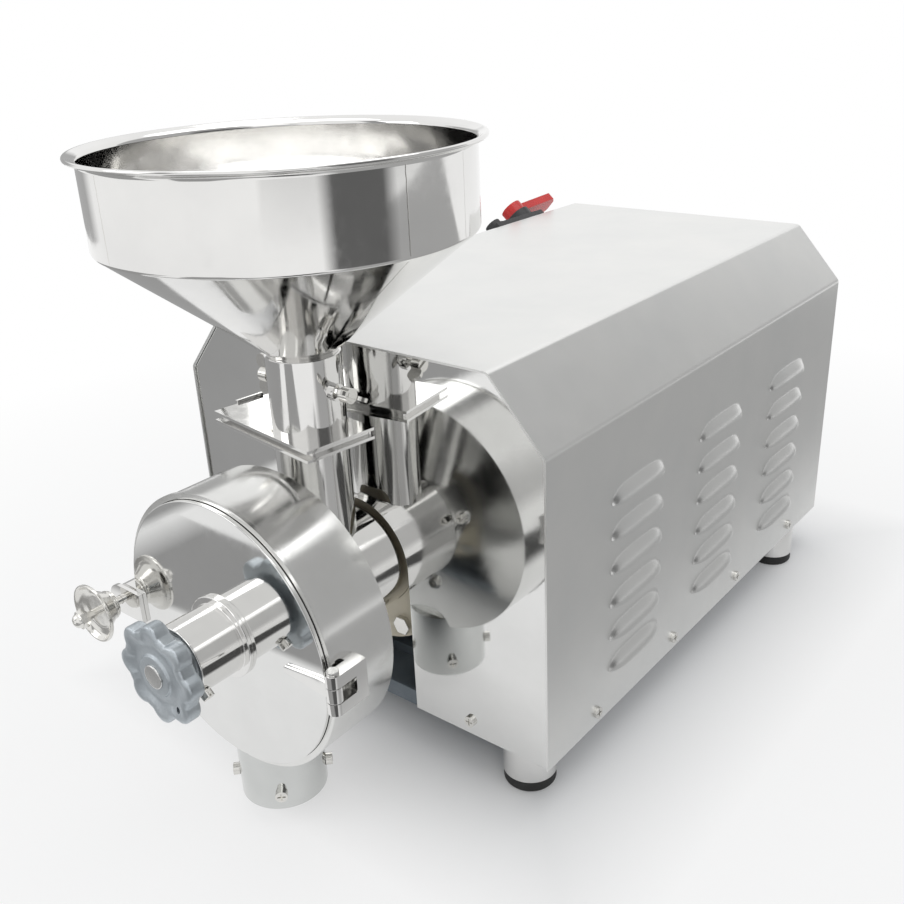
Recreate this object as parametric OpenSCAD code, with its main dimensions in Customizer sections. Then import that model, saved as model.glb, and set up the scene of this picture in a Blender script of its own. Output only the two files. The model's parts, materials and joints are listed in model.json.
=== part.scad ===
/* [Housing] */
// Width across the flat sides of the cover
house_w = 320; // [300:1:380]
// Length of the cover from its front edge to its rear edge
house_l = 468; // [450:1:560]
// Height of the cover without the feet
house_h = 272.5; // [258:0.5:330]
// Width of the sloping corner along the top of each side
chamfer_w = 41; // [38:1:60]
// Height of the sloping corner
chamfer_h = 46.5; // [40:0.5:60]
// Thickness of the cover sheet
cover_t = 1.5; // [1:0.1:2.5]
// Thickness of the front and rear panels
panel_t = 2; // [1.5:0.1:3]
// How far each panel stands back from the cover's edge
panel_inset = 1.5; // [0.5:0.1:4]
// Depth of the rim folded back around each panel
panel_rim = 14; // [8:1:25]
// Thickness of the base tray
tray_t = 2; // [1.5:0.1:3]
// Height of the tray's side flanges and screw tabs
flange_h = 22; // [19:1:28]
// Height of the tray's lip seen through the front panel's slot
lip_h = 12.7; // [8:0.1:16]
// Half width of the slot that lets the panel slide down over the neck
slot_r = 45; // [43:0.5:55]
// Gap between sheets that fit into one another
sheet_gap = 0.3; // [0.2:0.05:0.6]

/* [Louvers] */
// Length of a louver
louver_l = 70; // [40:1:90]
// Height of a louver
louver_h = 12; // [8:0.5:16]
// How far a louver bulges from the side
louver_d = 6; // [4:0.5:9]
// Louvers in a column
louver_rows = 6; // [1:1:6]
// Columns of louvers
louver_cols = 3; // [1:1:3]
// Height of the lowest louver's lower edge
louver_z = 35; // [30:1:50]
// Distance from one louver up to the next
louver_row_pitch = 26; // [18:0.5:28]
// Distance from the panel to the middle of the first column
louver_y = 110; // [70:1:130]
// Distance from one column to the next
louver_col_pitch = 126; // [95:1:140]
// Slots in the rear panel
vent_slots = 6; // [1:1:8]
// Length of a rear slot
vent_l = 120; // [60:5:160]
// Height of a rear slot
vent_h = 5; // [3:0.5:7]
// Distance from one rear slot up to the next
vent_pitch = 18; // [12:1:20]
// Height of the lowest rear slot
vent_z = 70; // [60:1:90]

/* [Feet and screws] */
// Height of the feet
foot_h = 38; // [32:0.5:50]
// Radius of a foot's steel cup
foot_r = 19; // [16:0.5:24]
// Wall of the steel cup
foot_wall = 1.5; // [1:0.1:2.5]
// Part of the rubber pad seen below the cup
foot_show = 9; // [6:0.5:14]
// Distance from the middle line to a front foot
foot_x = 127; // [110:1:138]
// Distance from the cover's front to a front foot
foot_inset = 25; // [22:1:35]
// Distance from the middle line to a rear foot
rear_foot_x = 140; // [120:1:140]
// Distance from the cover's rear to a rear foot
rear_foot_inset = 52; // [48:1:55]
// Radius of the bolts that hold the feet and the motor cradle
bolt_r = 4; // [3:0.5:5]
// Radius of the casing screws
screw_r = 2; // [1.5:0.1:2.5]
// Radius of a casing screw's head
screw_head_r = 4.2; // [3.5:0.1:5]
// Thickness of a casing screw's head
screw_head_t = 2.2; // [1.5:0.1:3]
// Length of a casing screw under its head
screw_l = 9; // [7:0.5:14]
// Height of the screws along each side
side_screw_z = 10; // [8:0.5:13]
// Distance from the panel to the first side screw
side_screw_y = 60; // [30:1:80]
// Screws along each side
side_screws = 4; // [2:1:5]
// Distance from one side screw to the next
side_screw_pitch = 112.7; // [60:0.1:115]
// Distance from the middle line to a panel screw
panel_screw_x = 94.7; // [70:0.1:110]
// Height of the panel screws
panel_screw_z = 11; // [9:0.5:15]

/* [Motor] */
// Height of the shaft above the cover's lower edge
shaft_z = 113.3; // [110:0.1:125]
// Radius of the motor over its fins
motor_r = 76; // [72:0.5:84]
// Radius of the motor casing under the fins
casing_r = 71; // [66:0.5:71.5]
// Bore radius of the motor casing
casing_bore_r = 64; // [58:0.5:64.5]
// Length of the finned casing
casing_l = 190; // [150:1:215]
// Cooling fins around the casing
fins = 28; // [12:1:36]
// Thickness of a fin
fin_t = 2.5; // [1.5:0.1:4]
// Length of each end bell
bell_l = 26; // [25:0.5:34]
// Outer radius of the shaft bearings
bearing_r = 31; // [28:0.5:34]
// Width of the shaft bearings
bearing_w = 16; // [12:0.5:18]
// Radius of the shaft in the motor
shaft_r = 15; // [14:0.5:18]
// Radius of the shaft in the neck
neck_shaft_r = 12.5; // [11.5:0.1:13.5]
// Radius of the shaft under the runner stone's carrier
seat_r = 11; // [10:0.1:11.4]
// Radius of the shaft's threaded end
thread_r = 8; // [6:0.1:9.5]
// Bore radius of the stator
stator_bore_r = 40; // [34:0.5:46]
// Air gap between rotor and stator
air_gap = 0.6; // [0.4:0.1:1.5]
// Length of the stator's core
core_l = 130; // [90:1:135]
// Length of the fan cowl behind the rear bell
cowl_l = 39; // [36:1:50]
// Wall of the fan cowl
cowl_t = 1.5; // [1:0.1:2.5]
// Blades of the cooling fan
fan_blades = 8; // [5:1:12]
// Radius of the cooling fan
fan_r = 66; // [50:0.5:70]
// Width of the fan
fan_w = 16; // [10:0.5:18]
// Clearance of a running fit, on the radius
run_gap = 0.05; // [0.03:0.01:0.09]
// Gap between pieces that seat on one another's curved faces
seat_gap = 0.2; // [0.1:0.05:0.3]

/* [Neck and drum] */
// Outer radius of the neck
neck_r = 40.8; // [39:0.1:42]
// Bore radius of the neck around the auger
neck_bore_r = 34; // [31:0.5:35]
// Distance from the panel forward to the drum
neck_l = 58.5; // [58.5:0.5:75]
// Outer radius of the flange that bolts the neck to the motor
flange_r = 69.5; // [65:0.1:70]
// Thickness of that flange
flange_t = 10; // [8:0.5:14]
// Distance from the panel back to the flange
flange_set = 9; // [8.5:0.1:14]
// Radius of the circle of the flange's bolts
flange_pcd_r = 59.8; // [57:0.1:60]
// Bolts in the flange
flange_bolts = 6; // [3:1:8]
// Outer radius of the drum
drum_r = 93.5; // [88:0.1:104]
// Wall of the drum
drum_t = 3; // [2:0.1:4]
// How far the drum's rear wall slopes forward to its rim
drum_dish = 11.5; // [8:0.5:16]
// Thickness of the rear wall around the neck
drum_floor_t = 5; // [4.5:0.1:7]
// Radius of the screw flange at the neck's front end
neck_lip_r = 56; // [54:0.5:60]
// Thickness of that flange
neck_lip_t = 4; // [3:0.5:6]
// Radius of the circle of the screws that hold the drum
drum_pcd_r = 49.5; // [48:0.1:50]
// Screws that hold the drum
drum_screws_n = 4; // [3:1:4]
// Height of the bead around the drum's front edge
bead_h = 0.8; // [0.4:0.1:1.5]
// Width of that bead
bead_w = 3; // [2:0.1:5]

/* [Stones] */
// Outer radius of the turning stone
runner_r = 72; // [60:0.5:78]
// Outer radius of the fixed stone
fixed_r = 70; // [58:0.5:76]
// Thickness of each stone
stone_t = 17; // [14:0.5:24]
// Radius of the turning stone's eye
eye_r = 34; // [31:0.5:40]
// Radius of the recess in the middle of the fixed stone
recess_r = 24; // [20:0.5:30]
// Gap between the stones
grind_gap = 0.5; // [0.3:0.1:1.5]
// Grooves cut into the face of each stone
grooves = 12; // [6:1:16]
// Depth of a groove
groove_d = 1.2; // [0.5:0.1:2]
// Width of a groove
groove_w = 4; // [2:0.5:6]
// Thickness of the turning stone's carrier plate
runner_plate_t = 6; // [5:0.5:9]
// Thickness of the fixed stone's carrier plate
fixed_plate_t = 5; // [4:0.5:8]
// Radius of the turning carrier's hub
runner_hub_r = 20; // [15:0.5:22]
// Travel of the fixed stone away from the turning one
stone_travel = 5.5; // [4:0.5:9]
// Outer radius of the auger
auger_r = 33.2; // [28:0.1:33.3]
// Radius of the auger's hub
auger_hub_r = 18; // [15:0.5:20]

/* [Door and handwheel] */
// How much smaller the door's radius is than the drum's
door_step = 3.2; // [2.5:0.1:6]
// Thickness of the door
door_t = 3; // [2:0.1:5]
// Gap between the shut door and the drum
door_gap = 0.3; // [0.2:0.05:0.6]
// Outer radius of the hub tube on the door
hub_r = 23.5; // [22.5:0.1:26]
// Bore radius of the hub tube
hub_bore_r = 19; // [16:0.1:20]
// Length of the hub tube
hub_l = 35.5; // [34:0.5:48]
// Radius of the hub tube's base ring
hub_ring_r = 28; // [26:0.5:32]
// Thickness of the base ring
hub_ring_t = 3; // [2:0.5:5]
// Radius of the adjusting screw
adjust_r = 8; // [6:0.5:9]
// Length of the threaded plug in the tube
plug_l = 7; // [6.5:0.5:10]
// Radius of the handwheel over its lobes
wheel_r = 34; // [30:0.5:42]
// Radius of a lobe
lobe_r = 6.2; // [5:0.1:7.5]
// Lobes of the handwheel
lobes = 8; // [6:1:9]
// Depth of the hollows between the lobes
lobe_depth = 5.5; // [3:0.1:7]
// Thickness of the handwheel
wheel_t = 12; // [9:0.5:18]
// Length of the handwheel's hub behind it
wheel_hub_l = 4.5; // [2:0.5:8]
// Height of the lug between the hinge's arms
hinge_h = 10; // [7:0.5:14]
// Radius of the hinge's knuckles
knuckle_r = 5; // [4:0.1:5.6]
// Radius of the hinge's pin
pin_r = 2.5; // [1.8:0.1:3]
// Distance from the drum's side to the hinge's pin
pin_out = 5; // [5:0.5:9]
// Distance from the door's face to the middle of the pin
pin_ahead = 1; // [0.6:0.1:1.6]
// Height of each arm of the hinge
arm_h = 8; // [6:0.5:16]
// Length of the hinge's strap from its pin
strap_l = 40.9; // [36:0.1:50]
// How far the hinge's bracket reaches back along the drum
bracket_l = 18; // [16:0.5:28]

/* [Latch] */
// Distance from the drum's side to the latch's screw
latch_out = 13.3; // [12:0.1:18]
// How far the latch lies below the shaft
latch_drop = 10; // [0:0.5:20]
// Radius of the latch's screw
stud_r = 3; // [2.5:0.1:4]
// Radius of the latch nut's front flange
latch_nut_r = 21; // [16.5:0.5:24]
// Length of the latch nut
latch_nut_l = 14.5; // [12:0.5:20]
// Travel of the latch's screw into its lug
latch_travel = 6; // [4:0.5:8]
// Radius of the ear and the lug around the screw
ear_r = 11; // [8:0.5:12]
// Thickness of the ear
ear_t = 3; // [2:0.5:5]

/* [Spout and feed] */
// Outer radius of the discharge spout
spout_r = 29.5; // [24:0.1:31]
// Wall of the tubes, the collar and the hopper
tube_t = 1.5; // [1:0.1:2]
// How far the spout reaches below the cover's lower edge
spout_drop = 23.6; // [16:0.1:30]
// Height of the spout's screws below the cover's lower edge
spout_screw_drop = 10; // [6:0.5:12]
// Screws around the spout
spout_screws_n = 4; // [2:1:6]
// Distance from the panel forward to the feed tube
feed_ahead = 34; // [33:0.5:34.5]
// Outer radius of the feed tube and the collar
feed_r = 24; // [22.5:0.1:24]
// Height of the gate's upper face above the cover's lower edge
gate_top_z = 225; // [210:0.5:235]
// Thickness of each guide plate
guide_t = 2; // [1.5:0.1:3]
// Space between the guide plates
gate_space = 4; // [3:0.1:6]
// Turn of the gate about the feed tube
gate_turn = -8; // [-20:1:20]
// Reach of the guide plates forward from the feed tube's axis
guide_front = 29; // [25:0.5:34]
// Reach of the guide plates back from the feed tube's axis
guide_rear = 23.5; // [23.3:0.1:24.2]
// Reach of the guide plates to the handle's side
guide_reach = 68.7; // [66:0.1:80]
// Reach of the guide plates to the other side
guide_back = 36; // [30:0.5:44]
// Travel of the gate
gate_travel = 45; // [43:0.5:46]
// Height of the gate's tab
tab_h = 12; // [8:0.5:20]
// Height of the collar
collar_h = 48.7; // [40:0.1:60]
// Height of the collar's wing screws above the gate
wing_h = 27; // [15:0.5:28]
// Radius of the wing screws
wing_r = 2.5; // [2:0.1:3]
// Length across the wings
wing_span = 28; // [18:1:34]

/* [Hopper] */
// Outer radius of the hopper's band
hopper_r = 114; // [90:0.5:130]
// Height of the hopper's rim above the cover's lower edge
hopper_z = 402.2; // [385:0.5:450]
// Height of the hopper's straight band
band_h = 53.4; // [35:0.5:70]
// Height of the hopper's tube seen above the collar
tube_show = 1.6; // [1:0.1:20]
// How far the rim's lip stands out from the band
lip_out = 6.2; // [4:0.1:10]
// Radius of the rolled edge around the lip
roll_r = 1.4; // [1.2:0.1:2]

/* [Switch and gland] */
// Distance from the panel to the switch's shaft
switch_y = 397; // [340:1:425]
// Distance down the slope from its upper edge to the switch's shaft
switch_s = 17; // [16.5:0.5:30]
// Width of the switch's plate
plate_w = 32; // [28:1:33]
// Thickness of the plate
plate_t = 5; // [3:0.5:7]
// Distance from the shaft forward to the button
button_ahead = 43; // [32:1:50]
// Radius of the button
button_r = 8; // [6:0.5:9]
// Travel of the button
button_travel = 4; // [2:0.5:5]
// Height of the boss under the handle
boss_h = 10; // [6:0.5:14]
// Length of the switch's handle from its shaft
handle_l = 60; // [40:1:70]
// Width of the handle's end
handle_w = 22; // [14:1:26]
// Thickness of the handle
handle_t = 8; // [5:0.5:10]
// Bore radius of the cable gland
gland_bore_r = 5; // [3:0.5:6]
// Reach of the gland behind the rear panel
gland_out = 14; // [8:0.5:20]
// Distance from the cover's side to the gland
gland_in = 60; // [45:1:80]
// Height of the gland
gland_z = 45; // [40:1:55]

/* [Hidden] */
$fn = 72;

// Places along the shaft, measured from the front panel: forward is negative
rear_edge_y = house_l - panel_inset;
rear_panel_y = rear_edge_y - panel_inset;
feed_y = -feed_ahead;
drum_root_y = -neck_l;
drum_rim_y = drum_root_y - drum_dish;
drum_floor_y = drum_root_y - drum_floor_t;
neck_front_y = drum_floor_y - neck_lip_t;
runner_gap = 2;
runner_back_y = neck_front_y - runner_gap;
runner_plate_y = runner_back_y - runner_plate_t;
runner_face_y = runner_plate_y - stone_t;
fixed_face_y = runner_face_y - grind_gap;
fixed_back_y = fixed_face_y - stone_t;
fixed_plate_y = fixed_back_y - fixed_plate_t;
end_gap = 1;
door_back_y = fixed_plate_y - stone_travel - end_gap;
door_y = door_back_y - door_t;
door_r = drum_r - door_step;
drum_front_y = door_back_y + door_gap;
hub_end_y = door_y - hub_l;
plug_y = hub_end_y + plug_l;
piston_gap = 0.5;
piston_y = plug_y + stone_travel + piston_gap;
wheel_gap = 0.5;
wheel_back_y = hub_end_y - wheel_gap;
wheel_rim_y = wheel_back_y - wheel_hub_l;
wheel_front_y = wheel_rim_y - wheel_t;
screw_end = 1;
reach_y = wheel_front_y - screw_end;

// Places along the motor, behind the front panel
bell_y = flange_set + flange_t;
casing_y = bell_y + bell_l;
rear_bell_y = casing_y + casing_l;
cowl_y = rear_bell_y + bell_l;
cowl_end_y = cowl_y + cowl_l;
bearing_set = 5;
front_bearing_y = bell_y + bearing_set;
rear_bearing_y = cowl_y - bearing_set - bearing_w;
core_y = casing_y + (casing_l - core_l) / 2;
fan_y = cowl_y + 5;
shaft_end_y = fan_y + fan_w + 2;
fan_seat_r = shaft_r - 1;
shaft_step_y = flange_set + 1;

// The whole stands with its middle at the origin
front_y = -(rear_panel_y + gland_out + reach_y) / 2;
foot_places = [[foot_x, foot_inset], [rear_foot_x, rear_edge_y - rear_foot_inset]];

// Sections of the housing
pan_d = cover_t + sheet_gap;
tray_x = house_w / 2 - pan_d;
tray_rear_y = rear_panel_y - panel_t;
rim_z = flange_h + 6;
tab_w = 24;
cut = 1;
slope_a = atan2(chamfer_h, chamfer_w);

// A louver is a cap of a ball, cut level along its lower edge
louver_arc_r = (pow(louver_l / 2, 2) + pow(louver_h, 2)) / (2 * louver_h);
louver_sink = (pow(louver_l / 2, 2) - pow(louver_d, 2)) / (2 * louver_d);
louver_ball_r = norm([louver_arc_r, louver_sink]);

gland_x = house_w / 2 - gland_in;

// Pieces of the feed and the spout
spout_y = drum_front_y + spout_r;
spout_bore_r = spout_r - tube_t;
spout_top_z = shaft_z - sqrt(pow(drum_r - drum_t, 2) - pow(spout_bore_r, 2));
shelf_t = 2;
feed_bore_r = feed_r - tube_t;
hopper_tube_r = feed_bore_r - 0.3;
hopper_bore_r = hopper_tube_r - tube_t;
gate_low_z = gate_top_z - 2 * guide_t - gate_space;
gate_gap = 0.3;
rail_w = 1.7;
rail_set = 0.5;
gate_end = hopper_bore_r + 3.3;
gate_w = 2 * (guide_rear - rail_set - rail_w - gate_gap);
stem_step = 4.5;
tab_t = 2.5;
collar_top_z = gate_top_z + collar_h;
cone_z = collar_top_z + tube_show;
band_z = hopper_z - band_h;
lip_r = hopper_r + lip_out - roll_r;
lip_rise = 2.6;
wing_z = gate_top_z + wing_h;
wing_boss_r = 5.5;
wing_boss_l = 5;
spout_screw_r = 2;
spout_head_t = 4.5;
drum_screws_turn = 20;
flange_turn = 0;

// Hinge and latch
pin_x = drum_r + pin_out;
pin_y = door_y - pin_ahead;
strap_t = 2.5;
latch_x = -(drum_r + latch_out);
latch_z = shaft_z - latch_drop;
ear_y = door_y - ear_t;
washer_t = 1.5;
washer_gap = 0.5;
latch_nut_y = ear_y - latch_travel - washer_gap - washer_t;
lug_l = 15;
lug_gap = 0.2;
stud_tip_gap = 0.3;
lock_y = hub_end_y + plug_l / 2;
lock_r = 2.5;
lock_turn = 50;

module at_front() { translate([0, front_y, foot_h]) children(); }
module at_shaft() { translate([0, 0, shaft_z]) children(); }

// Solids laid along the shaft's direction, between two places
module rod(r, from, to) { translate([0, from, 0]) rotate([-90, 0, 0]) cylinder(r = r, h = to - from); }
module tube(outer, inner, from, to) {
    difference() {
        rod(outer, from, to);
        rod(inner, from - cut, to + cut);
    }
}
module turned(points) { rotate([-90, 0, 0]) rotate_extrude() polygon(points); }
module prism(from, to) { translate([0, to, 0]) rotate([90, 0, 0]) linear_extrude(to - from) children(); }
module pipe(outer, inner, h) {
    difference() {
        cylinder(r = outer, h = h);
        translate([0, 0, -cut]) cylinder(r = inner, h = h + 2 * cut);
    }
}
// Copies on a circle about the shaft
module around(count, r, start) {
    for (i = [0 : count - 1]) {
        a = start + i * 360 / count;
        translate([r * cos(a), 0, r * sin(a)]) children();
    }
}
module hex_head(r, h) { cylinder(r = r, h = h, $fn = 6); }
// A pan-head screw: its head stands on z = 0 and its shank points down
module pan_screw(r, head_r, head_t, l) {
    difference() {
        cylinder(r = head_r, h = head_t);
        translate([0, 0, head_t]) cube([head_r * 1.3, r / 2, head_t], center = true);
        translate([0, 0, head_t]) cube([r / 2, head_r * 1.3, head_t], center = true);
    }
    translate([0, 0, -l]) cylinder(r = r, h = l);
}

// Section of the housing, moved inward by d, with its lower edge at bottom
function section(d, bottom) =
    let (slope = norm([chamfer_w, chamfer_h]),
         nx = chamfer_h / slope,
         nz = chamfer_w / slope,
         side_x = house_w / 2 - d,
         side_z = house_h - chamfer_h - d * (1 - nx) / nz,
         top_x = house_w / 2 - chamfer_w - d * (1 - nz) / nx)
    [[-side_x, bottom], [side_x, bottom], [side_x, side_z], [top_x, house_h - d],
     [-top_x, house_h - d], [-side_x, side_z]];

module both_sides() { for (side = [0, 1]) mirror([side, 0, 0]) children(); }
module at_louvers() {
    both_sides() for (col = [0 : louver_cols - 1]) for (row = [0 : louver_rows - 1])
        translate([house_w / 2, louver_y + col * louver_col_pitch, louver_z + row * louver_row_pitch])
            children();
}
module louver_cap(r, depth, low) {
    intersection() {
        translate([-louver_sink, 0, louver_h - louver_arc_r]) sphere(r);
        translate([-depth, -louver_l, low]) cube([depth + 2 * louver_d, 2 * louver_l, louver_h + cut]);
    }
}
module at_side_screws() {
    both_sides() for (i = [0 : side_screws - 1])
        translate([house_w / 2, side_screw_y + i * side_screw_pitch, side_screw_z]) rotate([0, 90, 0])
            children();
}
module at_panel_screws() {
    both_sides() {
        translate([panel_screw_x, 0, panel_screw_z]) rotate([90, 0, 0]) children();
        translate([panel_screw_x, rear_panel_y, panel_screw_z]) rotate([-90, 0, 0]) children();
    }
}
// Origin on the left slope, with z pointing out of it and x up the slope
module on_slope(y) {
    translate([-(house_w / 2 - chamfer_w), y, house_h]) rotate([0, -slope_a, 0])
        translate([-switch_s, 0, 0]) children();
}
switch_neck_r = 11;
button_neck_r = button_r + 2;

module cover_shell() color("gainsboro") at_front() difference() {
    union() {
        prism(-panel_inset, rear_edge_y) difference() {
            polygon(section(0, 0));
            polygon(section(cover_t, -cut));
        }
        at_louvers() louver_cap(louver_ball_r, cover_t / 2, 0);
    }
    at_louvers() louver_cap(louver_ball_r - cover_t, cover_t + cut, -cut / 100);
    at_side_screws() translate([0, 0, -2 * cover_t]) cylinder(r = screw_r + seat_gap, h = 4 * cover_t);
    on_slope(switch_y) translate([0, 0, -2 * cover_t]) {
        cylinder(r = switch_neck_r + seat_gap, h = 4 * cover_t);
        translate([0, -button_ahead, 0]) cylinder(r = button_neck_r + seat_gap, h = 4 * cover_t);
    }
}
// A panel with the rim folded back along its upper edges
module pan() {
    prism(0, panel_t) polygon(section(pan_d, 0));
    intersection() {
        prism(panel_t - cut / 2, panel_rim) difference() {
            polygon(section(pan_d, 0));
            polygon(section(pan_d + panel_t, -cut));
        }
        translate([-house_w, 0, rim_z]) cube([2 * house_w, 2 * panel_rim, house_h]);
    }
}
module panel_screw_holes() {
    at_panel_screws() translate([0, 0, -2 * panel_t]) cylinder(r = screw_r + seat_gap, h = 3 * panel_t);
}
module front_panel() color("lightgray") at_front() difference() {
    pan();
    at_shaft() rod(slot_r, -cut, panel_t + cut);
    translate([-slot_r, -cut, -cut]) cube([2 * slot_r, panel_t + 2 * cut, shaft_z + cut]);
    panel_screw_holes();
}
module rear_panel() color("lightgray") at_front() difference() {
    translate([0, rear_panel_y, 0]) mirror([0, 1, 0]) pan();
    for (i = [0 : vent_slots - 1])
        translate([-vent_l / 2, rear_panel_y - 2 * panel_t, vent_z + i * vent_pitch])
            cube([vent_l, 3 * panel_t, vent_h]);
    translate([gland_x, 0, gland_z]) rod(gland_bore_r + 3 + seat_gap, tray_rear_y - cut, rear_panel_y + cut);
    panel_screw_holes();
}
module tray_wall(from, to) {
    translate([-tray_x, from, 0]) cube([2 * tray_x, to - from, lip_h]);
    both_sides() translate([panel_screw_x - tab_w / 2, from, 0]) cube([tab_w, to - from, flange_h]);
}
module at_feet() { both_sides() for (p = foot_places) translate([p[0], p[1], 0]) children(); }
cradle_bolt_x = motor_r - 8;
cradle_end = 30;
module at_cradle_bolts() {
    both_sides() for (y = [casing_y + cradle_end / 2, rear_bell_y - cradle_end / 2])
        translate([cradle_bolt_x, y, 0]) children();
}
module base_tray() color("slategray") at_front() difference() {
    union() {
        translate([-tray_x, panel_t, 0]) cube([2 * tray_x, tray_rear_y - panel_t, tray_t]);
        both_sides() translate([tray_x - tray_t, panel_t, 0])
            cube([tray_t, tray_rear_y - panel_t, flange_h]);
        tray_wall(panel_t, panel_t + tray_t);
        tray_wall(tray_rear_y - tray_t, tray_rear_y);
    }
    at_side_screws() translate([0, 0, -pan_d - 2 * tray_t]) cylinder(r = screw_r + run_gap, h = 4 * tray_t);
    at_panel_screws() translate([0, 0, -panel_t - 2 * tray_t]) cylinder(r = screw_r + run_gap, h = 4 * tray_t);
    at_feet() translate([0, 0, -cut]) cylinder(r = bolt_r + seat_gap, h = tray_t + 2 * cut);
    at_cradle_bolts() translate([0, 0, -cut]) cylinder(r = bolt_r + seat_gap, h = tray_t + 2 * cut);
}
module casing_screws() color("silver") at_front() {
    at_side_screws() pan_screw(screw_r, screw_head_r, screw_head_t, screw_l);
    at_panel_screws() pan_screw(screw_r, screw_head_r, screw_head_t, screw_l);
}

foot_bolt_l = foot_h * 0.6;
cup_h = foot_h - foot_show;
module foot_cups() color("silver") at_front() at_feet() difference() {
    translate([0, 0, -cup_h]) cylinder(r = foot_r, h = cup_h);
    translate([0, 0, -cup_h - cut]) cylinder(r = foot_r - foot_wall, h = cup_h - foot_wall + cut);
    translate([0, 0, -foot_wall - cut]) cylinder(r = bolt_r + seat_gap, h = foot_wall + 2 * cut);
}
module foot_pads() color("dimgray") at_front() at_feet() difference() {
    union() {
        translate([0, 0, -foot_h]) cylinder(r = foot_r - 0.5, h = foot_show - seat_gap);
        translate([0, 0, -foot_h + cut])
            cylinder(r = foot_r - foot_wall - seat_gap, h = foot_h - foot_wall - seat_gap - cut);
    }
    translate([0, 0, -foot_bolt_l - seat_gap]) cylinder(r = bolt_r + run_gap, h = foot_h);
}
bolt_head_r = 1.85 * bolt_r;
bolt_head_h = 1.3 * bolt_r;
cradle_base_t = 8;
module tray_bolts() color("silver") at_front() {
    at_feet() {
        translate([0, 0, tray_t]) hex_head(bolt_head_r, bolt_head_h);
        translate([0, 0, -foot_bolt_l]) cylinder(r = bolt_r, h = foot_bolt_l + tray_t);
    }
    at_cradle_bolts() {
        translate([0, 0, tray_t + cradle_base_t]) hex_head(bolt_head_r, bolt_head_h);
        translate([0, 0, -3 * bolt_r]) cylinder(r = bolt_r, h = 3 * bolt_r + tray_t + cradle_base_t);
        translate([0, 0, -2 * bolt_r]) difference() {
            hex_head(bolt_head_r, 2 * bolt_r);
            translate([0, 0, -cut]) cylinder(r = bolt_r + run_gap, h = 2 * bolt_r + 2 * cut);
        }
    }
}

module motor_casing() color("lightsteelblue") at_front() at_shaft() prism(casing_y, rear_bell_y) difference() {
    union() {
        circle(casing_r);
        for (i = [0 : fins - 1]) rotate((i + 0.5) * 360 / fins) translate([0, -fin_t / 2])
            square([motor_r, fin_t]);
    }
    circle(casing_bore_r);
}
// Half section of an end bell: radius and distance from its outer face
spigot_l = 6;
boss_wall = 7;
web_t = 11;
function bell_section() = [
    [shaft_r + 2, 0], [flange_r + 0.7, 0], [motor_r, 8], [motor_r, bell_l],
    [casing_bore_r - seat_gap, bell_l], [casing_bore_r - seat_gap, bell_l + spigot_l],
    [casing_bore_r - 6, bell_l + spigot_l], [casing_bore_r - 6, web_t], [bearing_r + boss_wall, web_t],
    [bearing_r + boss_wall, bearing_set + bearing_w + 1], [bearing_r + run_gap, bearing_set + bearing_w + 1],
    [bearing_r + run_gap, bearing_set], [shaft_r + 2, bearing_set]
];
module motor_front_bell() color("wheat") at_front() at_shaft() difference() {
    translate([0, bell_y, 0]) turned(bell_section());
    around(flange_bolts, flange_pcd_r, flange_turn) rod(bolt_r + run_gap, bell_y - cut, bell_y + web_t - 1);
}
module motor_rear_bell() color("lightsteelblue") at_front() at_shaft()
    translate([0, cowl_y, 0]) mirror([0, 1, 0]) turned(bell_section());
winding_l = 16;
module stator() color("peru") at_front() at_shaft() {
    difference() {
        union() {
            rod(casing_bore_r - seat_gap, core_y, core_y + core_l);
            rod(casing_bore_r - 6, core_y - winding_l, core_y + core_l + winding_l);
        }
        rod(stator_bore_r, core_y - winding_l - cut, core_y + core_l + winding_l + cut);
    }
}
module rotor() color("darkgray") at_front() at_shaft()
    tube(stator_bore_r - air_gap, shaft_r + run_gap, core_y, core_y + core_l);
module main_shaft() color("silver") at_front() at_shaft() turned([
    [0, shaft_tip_y], [thread_r, shaft_tip_y], [thread_r, nut_y], [seat_r, nut_y], [seat_r, runner_back_y],
    [neck_shaft_r, runner_back_y], [neck_shaft_r, shaft_step_y], [shaft_r, shaft_step_y],
    [shaft_r, cowl_y - 3], [fan_seat_r, cowl_y - 3], [fan_seat_r, shaft_end_y], [0, shaft_end_y]
]);
module bearing(y) {
    groove_r = bearing_w / 5;
    difference() {
        tube(bearing_r, shaft_r + run_gap, y, y + bearing_w);
        tube(bearing_r - 4, shaft_r + 4, y - cut, y + groove_r);
        tube(bearing_r - 4, shaft_r + 4, y + bearing_w - groove_r, y + bearing_w + cut);
    }
}
module front_bearing() color("gray") at_front() at_shaft() bearing(front_bearing_y);
module rear_bearing() color("gray") at_front() at_shaft() bearing(rear_bearing_y);
module motor_cradle() color("slategray") at_front() difference() {
    union() {
        translate([-motor_r, casing_y, tray_t]) cube([2 * motor_r, casing_l, cradle_base_t]);
        for (y = [casing_y + cradle_end, rear_bell_y - 2 * cradle_end])
            translate([-0.7 * motor_r, y, tray_t]) cube([1.4 * motor_r, cradle_end, shaft_z - 0.7 * motor_r]);
    }
    at_shaft() rod(motor_r + seat_gap, 0, rear_edge_y);
    at_cradle_bolts() cylinder(r = bolt_r + seat_gap, h = 3 * cradle_base_t);
}
module cooling_fan() color("dimgray") at_front() at_shaft() difference() {
    union() {
        rod(fan_seat_r + 6, fan_y, fan_y + fan_w);
        rod(fan_r, fan_y, fan_y + 2);
        for (i = [0 : fan_blades - 1]) rotate([0, i * 360 / fan_blades, 0])
            translate([fan_seat_r + 3, fan_y, -1]) cube([fan_r - fan_seat_r - 4, fan_w, 2]);
    }
    rod(fan_seat_r + run_gap, fan_y - cut, fan_y + fan_w + cut);
}
cowl_over = 10;
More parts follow.
